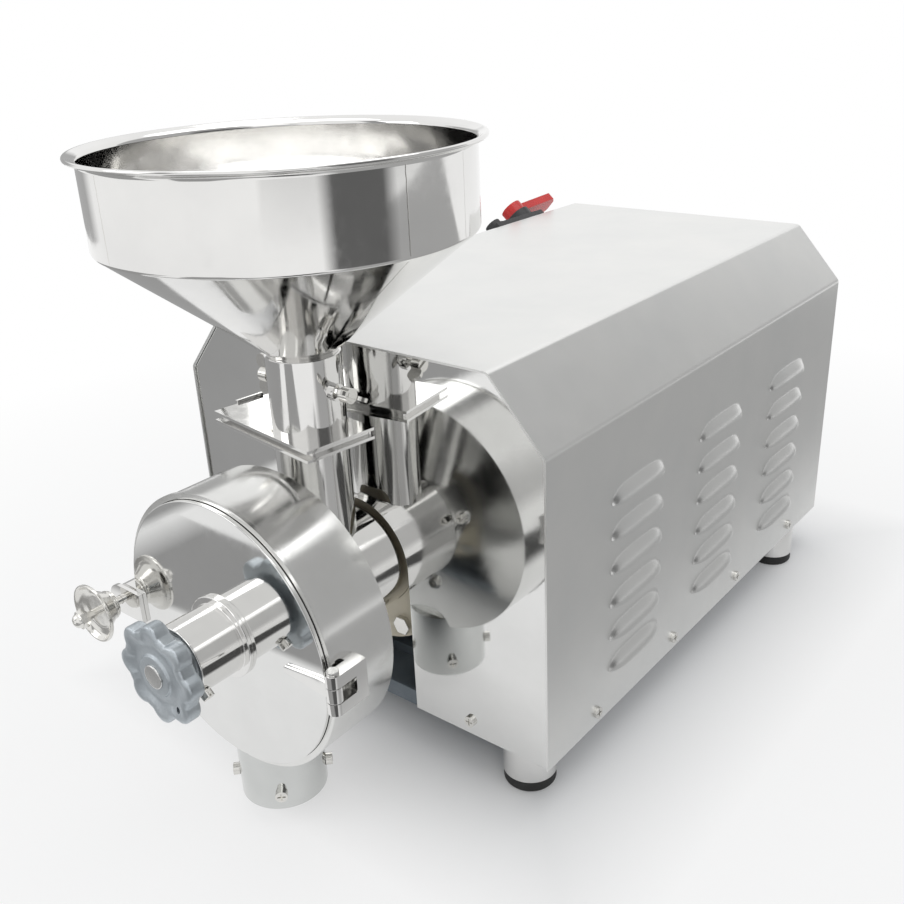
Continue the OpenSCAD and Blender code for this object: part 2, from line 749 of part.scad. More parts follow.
module fan_cowl() color("dimgray") at_front() at_shaft() difference() {
    rod(motor_r + seat_gap + cowl_t, cowl_y - cowl_over, cowl_end_y);
    rod(motor_r + seat_gap, cowl_y - cowl_over - cut, cowl_end_y - cowl_t);
    around(12, motor_r * 0.72, 0) rod(motor_r / 11, cowl_end_y - 2 * cowl_t, cowl_end_y + cut);
    around(8, motor_r * 0.4, 0) rod(motor_r / 11, cowl_end_y - 2 * cowl_t, cowl_end_y + cut);
}
box_w = 80;
box_wall = 3;
box_rise = 28;
module terminal_box() color("dimgray") at_front() difference() {
    translate([-box_w / 2, core_y - box_w / 4 + winding_l, shaft_z + motor_r - box_rise])
        cube([box_w, box_w, 2 * box_rise]);
    translate([-box_w / 2 + box_wall, core_y - box_w / 4 + winding_l + box_wall, shaft_z + motor_r + box_wall])
        cube([box_w - 2 * box_wall, box_w - 2 * box_wall, box_rise - 2 * box_wall]);
    at_shaft() rod(motor_r + seat_gap, 0, rear_edge_y);
}

seal_t = 8;
seal_back_y = -2;
seal_land_r = 30;
module neck() color("silver") at_front() at_shaft() difference() {
    union() {
        rod(neck_r, neck_front_y, bell_y);
        rod(neck_lip_r, neck_front_y, drum_floor_y);
    }
    rod(neck_bore_r, neck_front_y - cut, seal_back_y);
    rod(seal_land_r, seal_back_y - cut, bell_y + cut);
    translate([0, feed_y, 0]) cylinder(r = feed_bore_r, h = neck_r + cut);
    around(drum_screws_n, drum_pcd_r, drum_screws_turn) rod(spout_screw_r + run_gap, neck_front_y - cut, drum_root_y);
}
module neck_flange() color("wheat") at_front() at_shaft() difference() {
    tube(flange_r, neck_r + run_gap, flange_set, bell_y);
    around(flange_bolts, flange_pcd_r, flange_turn) rod(bolt_r + seat_gap, flange_set - cut, bell_y + cut);
}
neck_bolt_head_h = 4;
module neck_bolts() color("gray") at_front() at_shaft() around(flange_bolts, flange_pcd_r, flange_turn) {
    rod(bolt_r, flange_set, bell_y + web_t - 2);
    translate([0, flange_set, 0]) rotate([90, 0, 0]) hex_head(bolt_head_r, neck_bolt_head_h);
}
module shaft_seal() color("dimgray") at_front() at_shaft()
    tube(neck_bore_r - run_gap, neck_shaft_r + run_gap, seal_back_y - seal_t, seal_back_y);
auger_back_y = seal_back_y - seal_t - 2;
module feed_auger() color("silver") at_front() at_shaft() difference() {
    union() {
        rod(auger_hub_r, neck_front_y + cut, auger_back_y);
        translate([0, neck_front_y + cut, 0]) rotate([-90, 0, 0])
            linear_extrude(auger_back_y - neck_front_y - cut, twist = -300, slices = 24)
                square([2 * auger_r, 5], center = true);
    }
    rod(neck_shaft_r + run_gap, neck_front_y, auger_back_y + cut);
}
// Outside of the drum, grown by g, for pieces that seat on it
module drum_outside(g) {
    turned([
        [0, drum_root_y + g], [neck_r, drum_root_y + g], [drum_r + g, drum_rim_y + g],
        [drum_r + g, drum_front_y + bead_w + g], [drum_r + bead_h + g, drum_front_y + bead_w + g],
        [drum_r + bead_h + g, drum_front_y - g], [0, drum_front_y - g]
    ]);
}
drum_step = 6;
boss_top_y = drum_root_y - 0.5;
module drum() color("silver") at_front() at_shaft() difference() {
    union() {
        turned([
            [neck_r + seat_gap, drum_floor_y], [neck_lip_r + 1, drum_floor_y],
            [neck_lip_r + drum_step, drum_floor_y - drum_t], [drum_r - drum_t, drum_rim_y - drum_t],
            [drum_r - drum_t, drum_front_y], [drum_r + bead_h, drum_front_y],
            [drum_r + bead_h, drum_front_y + bead_w], [drum_r, drum_front_y + bead_w],
            [drum_r, drum_rim_y], [neck_r + seat_gap, drum_root_y]
        ]);
        around(drum_screws_n, drum_pcd_r, drum_screws_turn) rod(5.5, drum_floor_y + cut, boss_top_y);
    }
    around(drum_screws_n, drum_pcd_r, drum_screws_turn) rod(spout_screw_r + seat_gap, drum_floor_y - cut, boss_top_y + cut);
    translate([0, spout_y, spout_top_z + shelf_t - shaft_z - 2 * drum_r])
        cylinder(r = spout_bore_r, h = 2 * drum_r);
}
module drum_screws() color("silver") at_front() at_shaft()
    around(drum_screws_n, drum_pcd_r, drum_screws_turn) translate([0, boss_top_y, 0]) rotate([-90, 0, 0])
        pan_screw(spout_screw_r, 4, 2.4, boss_top_y - neck_front_y);

nut_l = 10;
nut_y = runner_face_y + 2.5;
shaft_tip_y = nut_y - nut_l - 4;
spoke_w = 8;
module runner_carrier() color("gray") at_front() at_shaft() difference() {
    union() {
        difference() {
            rod(runner_r, runner_plate_y, runner_back_y);
            tube(eye_r - 1, runner_hub_r - 1, runner_plate_y - cut, runner_back_y + cut);
        }
        for (i = [0, 1]) rotate([0, 90 * i, 0]) translate([-eye_r - 1, runner_plate_y, -spoke_w / 2])
            cube([2 * eye_r + 2, runner_plate_t, spoke_w]);
        rod(runner_hub_r, nut_y, runner_back_y);
    }
    rod(seat_r + run_gap, nut_y - cut, runner_back_y + cut);
}
// Grooves across a stone's face, leaning away from its centre
module stone_grooves(from, to) {
    for (i = [0 : grooves - 1]) rotate([0, i * 360 / grooves, 0]) translate([eye_r + 1, from, -eye_r / 2])
        rotate([0, 15, 0]) cube([runner_r, to - from, groove_w]);
}
module runner_stone() color("tan") at_front() at_shaft() difference() {
    tube(runner_r, eye_r, runner_face_y, runner_plate_y);
    stone_grooves(runner_face_y - cut, runner_face_y + groove_d);
}
module runner_nut() color("silver") at_front() at_shaft() difference() {
    translate([0, nut_y, 0]) rotate([90, 0, 0]) hex_head(1.6 * thread_r, nut_l);
    rod(thread_r + run_gap, nut_y - nut_l - cut, nut_y + cut);
}
module fixed_stone() color("tan") at_front() at_shaft() difference() {
    tube(fixed_r, recess_r, fixed_back_y, fixed_face_y);
    stone_grooves(fixed_face_y - groove_d, fixed_face_y + cut);
}
module fixed_carrier() color("gray") at_front() at_shaft() {
    rod(fixed_r, fixed_plate_y, fixed_back_y);
    rod(hub_bore_r - 2 * run_gap, piston_y, fixed_plate_y);
}
module front_door() color("lightgray") at_front() at_shaft() tube(door_r, hub_bore_r + run_gap, door_y, door_back_y);
gasket_w = 5;
gasket_t = 3;
gasket_gap = 0.6;
module door_gasket() color("dimgray") at_front() at_shaft()
    tube(drum_r - drum_t - gasket_gap, drum_r - drum_t - gasket_gap - gasket_w, door_back_y,
         door_back_y + gasket_t);
module lock_hole(r, from, to) {
    translate([0, lock_y, 0]) rotate([0, 180 - lock_turn, 0]) translate([0, 0, from])
        cylinder(r = r, h = to - from);
}
module hub_tube() color("silver") at_front() at_shaft() difference() {
    union() {
        rod(hub_r, hub_end_y, door_y);
        rod(hub_ring_r, door_y - hub_ring_t, door_y);
    }
    rod(hub_bore_r, hub_end_y - cut, door_y + cut);
    lock_hole(lock_r + run_gap, 0, hub_r + cut);
}
module adjusting_plug() color("gray") at_front() at_shaft() difference() {
    tube(hub_bore_r - run_gap, adjust_r + run_gap, hub_end_y, plug_y);
    lock_hole(lock_r + run_gap, 0, hub_r + cut);
}
module adjusting_screw() color("silver") at_front() at_shaft() rod(adjust_r, reach_y, piston_y - 0.3);
module wheel_outline() {
    circle(wheel_r - lobe_depth);
    for (i = [0 : lobes - 1]) rotate(i * 360 / lobes) translate([wheel_r - lobe_r, 0]) circle(lobe_r);
}
wheel_edge = 2;
module handwheel() color("lightslategray") at_front() at_shaft() difference() {
    union() {
        prism(wheel_front_y + wheel_edge, wheel_rim_y - wheel_edge) wheel_outline();
        prism(wheel_front_y, wheel_rim_y) scale(1 - wheel_edge / wheel_r) wheel_outline();
        rod(wheel_r * 0.45, wheel_rim_y - cut, wheel_back_y);
    }
    rod(adjust_r + run_gap, wheel_front_y - cut, wheel_back_y + cut);
    around(1, wheel_r - lobe_depth - 4, -45) rod(2, wheel_front_y - cut, wheel_front_y + wheel_t / 2);
}
lock_head_l = 5;
module lock_screw() color("silver") at_front() at_shaft() {
    lock_hole(lock_r, adjust_r + 0.3, hub_r + cut);
    difference() {
        lock_hole(lock_r + 1.5, hub_r + 0.5, hub_r + lock_head_l);
        translate([0, lock_y, 0]) rotate([0, 180 - lock_turn, 0])
            translate([-hub_r, -0.5, hub_r + lock_head_l - 1.5]) cube([2 * hub_r, 1, lock_head_l]);
    }
}
strap_tip_w = 4;
module at_pin() { translate([pin_x, pin_y, 0]) children(); }
module hinge_strap() color("silver") at_front() at_shaft() difference() {
    union() {
        translate([0, 0, -hinge_h / 2]) at_pin() cylinder(r = knuckle_r, h = hinge_h);
        prism(door_y - strap_t, door_y) polygon([
            [pin_x - strap_l, -strap_tip_w / 2], [pin_x - 0.3 * strap_l, -hinge_h / 2],
            [pin_x - pin_r - 1, -hinge_h / 2], [pin_x - pin_r - 1, hinge_h / 2],
            [pin_x - 0.3 * strap_l, hinge_h / 2], [pin_x - strap_l, strap_tip_w / 2]
        ]);
    }
    translate([0, 0, -hinge_h]) at_pin() cylinder(r = pin_r + run_gap, h = 2 * hinge_h);
}
arm_gap = 0.3;
bracket_back_y = drum_front_y + bracket_l;
bracket_set = 9;
module hinge_bracket() color("silver") at_front() at_shaft() difference() {
    union() {
        for (z = [hinge_h / 2 + arm_gap, -hinge_h / 2 - arm_gap - arm_h]) translate([0, 0, z]) {
            at_pin() cylinder(r = knuckle_r, h = arm_h);
            translate([drum_r + bead_h + 0.7, pin_y, 0])
                cube([pin_out + knuckle_r - bead_h - 0.7, bracket_back_y - pin_y, arm_h]);
        }
        translate([drum_r - 4, drum_front_y + bracket_set, -hinge_h / 2 - arm_gap - arm_h])
            cube([pin_out + knuckle_r + 4, bracket_l - bracket_set, hinge_h + 2 * (arm_gap + arm_h)]);
    }
    drum_outside(0.1);
    translate([0, 0, -2 * arm_h - hinge_h]) at_pin() cylinder(r = pin_r + run_gap, h = 4 * arm_h + 2 * hinge_h);
}
pin_half = hinge_h / 2 + arm_gap + arm_h;
module hinge_pin() color("gray") at_front() at_shaft() at_pin() {
    translate([0, 0, -pin_half - 2]) cylinder(r = pin_r, h = 2 * pin_half + 2);
    translate([0, 0, pin_half]) cylinder(r = pin_r + 1.2, h = 2);
}

module at_latch() { translate([latch_x, 0, latch_z]) children(); }
module latch_plate(from, to, half, inner_x) {
    at_latch() rod(half, from, to);
    translate([latch_x, from, latch_z - half]) cube([inner_x - latch_x, to - from, 2 * half]);
}
ear_in = 10;
lug_in = 4;
module latch_ear() color("silver") at_front() difference() {
    latch_plate(ear_y, door_y, ear_r, latch_x + latch_out + ear_in);
    at_latch() rod(stud_r + 2 * run_gap, ear_y - cut, door_y + cut);
}
module latch_lug() color("silver") at_front() difference() {
    latch_plate(drum_front_y + lug_gap, drum_front_y + lug_gap + lug_l, ear_r - 2, latch_x + latch_out + lug_in);
    at_shaft() drum_outside(0.1);
    at_latch() rod(stud_r + run_gap, drum_front_y - cut, drum_front_y + lug_l + 2 * cut);
}
dome_r = 5.5;
dome_l = 11.5;
module latch_stud() color("silver") at_front() at_latch() {
    front = latch_nut_y - latch_nut_l;
    rod(stud_r, front - 5, drum_front_y + lug_gap - stud_tip_gap);
    translate([0, front - 5, 0]) rotate([90, 0, 0]) hex_head(dome_r + 1, 5);
    rod(dome_r, front - dome_l + dome_r / 2, front - 5);
    translate([0, front - dome_l + dome_r / 2, 0]) intersection() {
        sphere(dome_r);
        rod(dome_r, -dome_r, 0);
    }
}
nut_root_r = 10.5;
module latch_nut() color("silver") at_front() at_latch() translate([0, latch_nut_y, 0]) difference() {
    turned([
        [stud_r + run_gap, 0], [nut_root_r, 0], [nut_root_r, -2], [latch_nut_r - 4.5, -latch_nut_l + 4],
        [latch_nut_r, -latch_nut_l + 2.5], [latch_nut_r, -latch_nut_l], [latch_nut_r - 1.5, -latch_nut_l],
        [latch_nut_r - 3.5, -latch_nut_l + 3], [latch_nut_r - 8.5, -latch_nut_l + 5],
        [stud_r + run_gap, -latch_nut_l + 5]
    ]);
}
module latch_washer() color("gray") at_front() at_latch()
    tube(nut_root_r - 1, stud_r + run_gap, latch_nut_y, latch_nut_y + washer_t);

module at_spout_screws() {
    for (i = [0 : spout_screws_n - 1]) translate([0, spout_y, -spout_screw_drop])
        rotate([0, 0, 45 + i * 360 / spout_screws_n]) translate([spout_r, 0, 0]) rotate([0, 90, 0]) children();
}
module discharge_spout() color("silver") at_front() difference() {
    translate([0, spout_y, 0]) union() {
        translate([0, 0, -spout_drop]) pipe(spout_r, spout_bore_r, spout_drop + spout_top_z);
        translate([0, 0, spout_top_z]) cylinder(r = spout_r, h = shelf_t);
    }
    at_shaft() drum_outside(0.1);
    at_spout_screws() translate([0, 0, -2 * tube_t]) cylinder(r = spout_screw_r + run_gap, h = 4 * tube_t);
}
module spout_screws() color("silver") at_front() at_spout_screws()
    pan_screw(spout_screw_r, screw_head_r, spout_head_t, tube_t);
feed_root = 20;
module at_feed() { translate([0, feed_y, 0]) children(); }
module feed_tube() color("silver") at_front() difference() {
    at_feed() translate([0, 0, shaft_z + feed_root]) pipe(feed_r, feed_bore_r, gate_low_z - shaft_z - feed_root);
    at_shaft() rod(neck_r + 0.1, drum_rim_y, bell_y);
}
module at_gate() { at_feed() rotate([0, 0, gate_turn]) translate([0, 0, gate_low_z]) children(); }
module gate_guide() color("silver") at_front() at_gate() difference() {
    union() {
        for (z = [0, guide_t + gate_space]) translate([-guide_reach, -guide_front, z])
            cube([guide_reach + guide_back, guide_front + guide_rear, guide_t]);
        for (y = [gate_w / 2 + gate_gap, -gate_w / 2 - gate_gap - rail_w])
            translate([-guide_reach + 3, y, 0]) cube([guide_reach + guide_back - 6, rail_w, 2 * guide_t + gate_space]);
        translate([guide_back - 6, -gate_w / 2, 0]) cube([3, gate_w, 2 * guide_t + gate_space]);
    }
    translate([0, 0, -cut]) cylinder(r = hopper_bore_r, h = 2 * guide_t + gate_space + 2 * cut);
}
module slide_gate() color("gainsboro") at_front() at_gate() {
    translate([-gate_end, -gate_w / 2, guide_t + gate_gap])
        cube([2 * gate_end, gate_w, gate_space - 2 * gate_gap]);
    translate([-guide_reach - gate_gap - cut, -gate_w / 2, guide_t + gate_gap])
        cube([guide_reach, gate_w - stem_step, gate_space - 2 * gate_gap]);
    translate([-guide_reach - gate_gap - tab_t, -gate_w / 4, guide_t + gate_space / 2 - tab_h / 2])
        cube([tab_t, gate_w / 2, tab_h]);
}
module hopper_collar() color("silver") at_front() at_feed() difference() {
    union() {
        translate([0, 0, gate_top_z]) cylinder(r = feed_r, h = collar_h);
        for (a = [90, -90]) translate([0, 0, wing_z]) rotate([0, a, 0])
            cylinder(r = wing_boss_r, h = feed_r + wing_boss_l);
    }
    translate([0, 0, gate_top_z - cut]) cylinder(r = feed_bore_r, h = collar_h + 2 * cut);
    translate([-house_w / 2, 0, wing_z]) rotate([0, 90, 0]) cylinder(r = wing_r + run_gap, h = house_w);
}
wing_tip_gap = 1;
wing_hub_r = 5;
wing_hub_l = 7;
wing_stand = 4;
wing_t = 2.6;
wing_end_r = 5;
// A wing screw with its tip on z = 0
module wing_screw() {
    hub_z = feed_r + wing_boss_l + wing_stand - hopper_tube_r - wing_tip_gap;
    cylinder(r = wing_r, h = hub_z + cut);
    translate([0, 0, hub_z]) cylinder(r = wing_hub_r, h = wing_hub_l);
    translate([0, wing_t / 2, hub_z + 1]) rotate([90, 0, 0]) linear_extrude(wing_t) {
        translate([-wing_span / 2 + wing_end_r, 0]) square([wing_span - 2 * wing_end_r, wing_hub_l]);
        for (x = [-1, 1]) translate([x * (wing_span / 2 - wing_end_r), wing_end_r]) circle(wing_end_r);
    }
}
module at_wing(a) {
    at_feed() translate([0, 0, wing_z]) rotate([0, a, 0]) translate([0, 0, hopper_tube_r + wing_tip_gap])
        children();
}
module wing_screw_left() color("silver") at_front() at_wing(-90) wing_screw();
module wing_screw_right() color("silver") at_front() at_wing(90) rotate(60) wing_screw();
module hopper() color("silver") at_front() at_feed() {
    rise = tube_t * norm([hopper_r - hopper_tube_r, band_z - cone_z]) / (hopper_r - hopper_tube_r);
    rotate_extrude() polygon([
        [hopper_bore_r, gate_top_z + 0.3], [hopper_tube_r, gate_top_z + 0.3], [hopper_tube_r, cone_z],
        [hopper_r, band_z], [hopper_r, hopper_z - lip_rise - tube_t], [lip_r, hopper_z - roll_r - tube_t / 2],
        [lip_r, hopper_z - roll_r + tube_t / 2], [hopper_r - tube_t, hopper_z - lip_rise],
        [hopper_r - tube_t, band_z + rise * 0.6], [hopper_bore_r, cone_z + rise * 0.6]
    ]);
    rotate_extrude() translate([lip_r, hopper_z - roll_r]) circle(roll_r);
}

switch_depth = 38;
handle_gap = 0.3;
stub_r = 4;
stub_l = 8;
button_set = 10;
button_l = 4;
plate_end = 16;
module switch_body() color("dimgray") at_front() on_slope(switch_y) difference() {
    union() {
        translate([-plate_w / 2, -button_ahead - plate_end, 0])
            cube([plate_w, button_ahead + 2 * plate_end, plate_t]);
        cylinder(r = switch_neck_r + 2, h = plate_t + boss_h);
        translate([0, 0, -cover_t - cut]) cylinder(r = switch_neck_r, h = cover_t + 2 * cut);
        translate([-plate_w / 2, -plate_w / 2, -cover_t - switch_depth]) cube([plate_w, plate_w, switch_depth]);
        translate([0, -button_ahead, -cover_t - button_set - 2])
            cylinder(r = button_neck_r, h = cover_t + button_set + 2 + plate_t);
        translate([0, -button_ahead, 0]) cylinder(r = button_neck_r, h = plate_t + button_travel);
    }
    translate([0, -button_ahead, -cover_t - button_set])
        cylinder(r = button_r + run_gap, h = cover_t + button_set + plate_t + button_travel + cut);
    translate([0, 0, plate_t + boss_h - stub_l]) cylinder(r = stub_r + run_gap, h = stub_l + cut);
}
module switch_handle() color("crimson") at_front() on_slope(switch_y) {
    base = plate_t + boss_h + handle_gap;
    translate([0, 0, base]) {
        cylinder(r = switch_neck_r, h = handle_t + 2);
        linear_extrude(handle_t) polygon([
            [-6, 0], [6, 0], [handle_w / 2, handle_l - 5], [handle_w / 2 - 5, handle_l],
            [-handle_w / 2 + 5, handle_l], [-handle_w / 2, handle_l - 5]
        ]);
    }
    translate([0, 0, base - stub_l + 1]) cylinder(r = stub_r, h = stub_l);
}
module push_button() color("black") at_front() on_slope(switch_y) translate([0, -button_ahead, -cover_t - button_l])
    cylinder(r = button_r, h = cover_t + button_l + plate_t + 2 * button_travel + 1);
module cable_gland() color("dimgray") at_front() translate([gland_x, 0, gland_z]) {
    difference() {
        union() {
            rod(gland_bore_r + 3, tray_rear_y - 8, rear_panel_y + cut);
            translate([0, rear_panel_y, 0]) rotate([-90, 0, 0]) hex_head(gland_bore_r + 6, gland_out * 0.4);
            rod(gland_bore_r + 4, rear_panel_y + cut, rear_panel_y + gland_out);
        }
        rod(gland_bore_r, tray_rear_y - 9, rear_panel_y + gland_out + cut);
    }
    difference() {
        translate([0, tray_rear_y, 0]) rotate([90, 0, 0]) hex_head(gland_bore_r + 6, 5);
        rod(gland_bore_r + 3 + run_gap, tray_rear_y - 6, tray_rear_y + cut);
    }
}

cover_shell();
front_panel();
rear_panel();
base_tray();
casing_screws();
foot_cups();
foot_pads();
tray_bolts();
motor_casing();
motor_front_bell();
motor_rear_bell();
stator();
rotor();
main_shaft();
front_bearing();
rear_bearing();
motor_cradle();
cooling_fan();
fan_cowl();
terminal_box();
neck();
neck_flange();
neck_bolts();
shaft_seal();
feed_auger();
drum();
drum_screws();
runner_carrier();
runner_stone();
runner_nut();
fixed_stone();
fixed_carrier();
front_door();
door_gasket();
hub_tube();
adjusting_plug();
adjusting_screw();
handwheel();
lock_screw();
hinge_strap();
hinge_bracket();
hinge_pin();
latch_ear();
latch_lug();
latch_stud();
latch_nut();
latch_washer();
discharge_spout();
spout_screws();
feed_tube();
gate_guide();
slide_gate();
hopper_collar();
wing_screw_left();
wing_screw_right();
hopper();
switch_body();
switch_handle();
push_button();
cable_gland();
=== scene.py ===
"""Looks for the stone mill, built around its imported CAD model.

Sizes and places are in millimetres until a mesh is made. The camera and the studio are in metres.
"""
import json
import math

import bmesh
import bpy
from mathutils import Matrix, Vector

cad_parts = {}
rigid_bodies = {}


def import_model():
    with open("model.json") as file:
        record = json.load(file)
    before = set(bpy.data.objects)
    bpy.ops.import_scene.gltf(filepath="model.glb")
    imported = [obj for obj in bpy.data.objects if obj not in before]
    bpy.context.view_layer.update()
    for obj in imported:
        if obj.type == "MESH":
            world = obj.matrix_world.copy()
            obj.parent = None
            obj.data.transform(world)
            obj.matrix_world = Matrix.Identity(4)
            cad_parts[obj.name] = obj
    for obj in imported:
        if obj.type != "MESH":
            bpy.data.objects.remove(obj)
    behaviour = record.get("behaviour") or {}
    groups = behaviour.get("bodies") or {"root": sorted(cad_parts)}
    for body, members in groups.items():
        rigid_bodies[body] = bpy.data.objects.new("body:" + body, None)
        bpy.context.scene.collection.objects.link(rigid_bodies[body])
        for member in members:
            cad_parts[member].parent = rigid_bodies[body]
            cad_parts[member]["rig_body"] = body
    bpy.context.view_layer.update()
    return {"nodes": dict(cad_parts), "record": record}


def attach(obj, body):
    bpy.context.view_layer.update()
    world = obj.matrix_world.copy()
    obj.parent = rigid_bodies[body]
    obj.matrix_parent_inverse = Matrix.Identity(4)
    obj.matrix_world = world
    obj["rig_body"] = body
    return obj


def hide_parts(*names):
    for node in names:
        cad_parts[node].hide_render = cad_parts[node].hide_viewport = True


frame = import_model()
NODES = frame["nodes"]
SLOT = {part["node"]: part["material_slot"] for part in frame["record"]["subparts"]}

# Places that the CAD model uses, measured from its front panel's face and the cover's lower edge
MM = 0.001
FRONT = -150.5
FOOT = 38.0
SHAFT = 113.3
FEED = -34.0
HOUSE_W, HOUSE_H = 320.0, 272.5
CHAMFER_W, CHAMFER_H = 41.0, 46.5
EDGE_FRONT, EDGE_REAR = -1.5, 466.5


def place(x, y, z):
    """A place measured from the front panel and the cover's lower edge, as a point in the shared frame."""
    return Vector((x, y + FRONT, z + FOOT)) * MM


# Materials
def material(name, colour, metallic, rough):
    """A new material, and its node tree, shader and object coordinates."""
    made = bpy.data.materials.new(name)
    made.use_nodes = True
    tree = made.node_tree
    shader = tree.nodes["Principled BSDF"]
    shader.inputs["Base Color"].default_value = (*colour, 1)
    shader.inputs["Metallic"].default_value = metallic
    shader.inputs["Roughness"].default_value = rough
    return made, tree, shader, tree.nodes.new("ShaderNodeTexCoord").outputs["Object"]


def noise(tree, coords, size, detail=3.0, stretch=(1, 1, 1), rough=0.55):
    """Noise whose features are about size millimetres across, times stretch along each axis."""
    mapping = tree.nodes.new("ShaderNodeMapping")
    tree.links.new(coords, mapping.inputs["Vector"])
    mapping.inputs["Scale"].default_value = [1 / (size * MM * s) for s in stretch]
    made = tree.nodes.new("ShaderNodeTexNoise")
    made.inputs["Scale"].default_value = 1.0
    made.inputs["Detail"].default_value = detail
    made.inputs["Roughness"].default_value = rough
    tree.links.new(mapping.outputs["Vector"], made.inputs["Vector"])
    return made.outputs["Fac"]


def spread(tree, value, low, high, start=0.3, end=0.7):
    """Value, from start to end, turned into low to high."""
    made = tree.nodes.new("ShaderNodeMapRange")
    made.inputs["From Min"].default_value, made.inputs["From Max"].default_value = start, end
    made.inputs["To Min"].default_value, made.inputs["To Max"].default_value = low, high
    tree.links.new(value, made.inputs["Value"])
    return made.outputs["Result"]


def maths(tree, kind, *values):
    """A maths node of that kind, fed with numbers or sockets."""
    made = tree.nodes.new("ShaderNodeMath")
    made.operation = kind
    for socket, value in zip(made.inputs, values):
        if isinstance(value, (int, float)):
            socket.default_value = value
        else:
            tree.links.new(value, socket)
    return made.outputs[0]


def blend(tree, factor, first, second):
    """The first colour where factor is 0 and the second where it is 1."""
    made = tree.nodes.new("ShaderNodeMix")
    made.data_type = "RGBA"
    tree.links.new(factor, made.inputs["Factor"])
    for socket, value in ((made.inputs[6], first), (made.inputs[7], second)):
        if isinstance(value, tuple):
            socket.default_value = (*value, 1)
        else:
            tree.links.new(value, socket)
    return made.outputs[2]


def bump(tree, shader, height, depth, under=None):
    """Bumps whose height is depth millimetres, on top of other bumps where under names them."""
    made = tree.nodes.new("ShaderNodeBump")
    made.inputs["Distance"].default_value = depth * MM
    tree.links.new(height, made.inputs["Height"])
    if under is not None:
        tree.links.new(under, made.inputs["Normal"])
    tree.links.new(made.outputs["Normal"], shader.inputs["Normal"])
    return made.outputs["Normal"]


# The features of steel: clouds, brushing lines and smudges
CLOUDS, LINES, SMUDGES = 55, 0.6, 24
# Broad patches of paint against its grain
PATCHES = 14


def steel(name, bright, dull, rough, more_rough, grain, grain_depth, wave, wave_depth, wave_size=70.0):
    """Stainless steel: grain is how the brushing stretches along each axis, and wave how the sheet bends."""
    made, tree, shader, coords = material(name, bright, 1.0, rough)
    clouds = noise(tree, coords, CLOUDS, detail=4)
    lines = noise(tree, coords, LINES, detail=2, stretch=grain)
    smudges = noise(tree, coords, SMUDGES, detail=5, rough=0.7)
    colour = blend(tree, spread(tree, clouds, 0, 1), bright, dull)
    tree.links.new(colour, shader.inputs["Base Color"])
    touched = spread(tree, smudges, 0, 1, start=0.45, end=0.75)
    soiled = maths(tree, "MULTIPLY", touched, spread(tree, lines, 0.6, 1.4))
    roughness = spread(tree, soiled, rough, rough + more_rough, start=0, end=1)
    tree.links.new(roughness, shader.inputs["Roughness"])
    bends = noise(tree, coords, wave_size, detail=1, stretch=wave)
    first = bump(tree, shader, bends, wave_depth)
    bump(tree, shader, lines, grain_depth, first)
    return made


def painted(name, colour, darker, rough, grain, depth, metallic=0.0):
    """Paint, castings, plastic or rubber: grain is the size of its surface's texture."""
    made, tree, shader, coords = material(name, colour, metallic, rough)
    fine = noise(tree, coords, grain, detail=4)
    broad = noise(tree, coords, grain * PATCHES)
    tone = blend(tree, spread(tree, broad, 0, 1), colour, darker)
    specks = blend(tree, spread(tree, fine, 0, 0.5, start=0.5, end=0.8), tone, darker)
    tree.links.new(specks, shader.inputs["Base Color"])
    tree.links.new(spread(tree, fine, rough - 0.06, rough + 0.1), shader.inputs["Roughness"])
    bump(tree, shader, fine, depth)
    return made


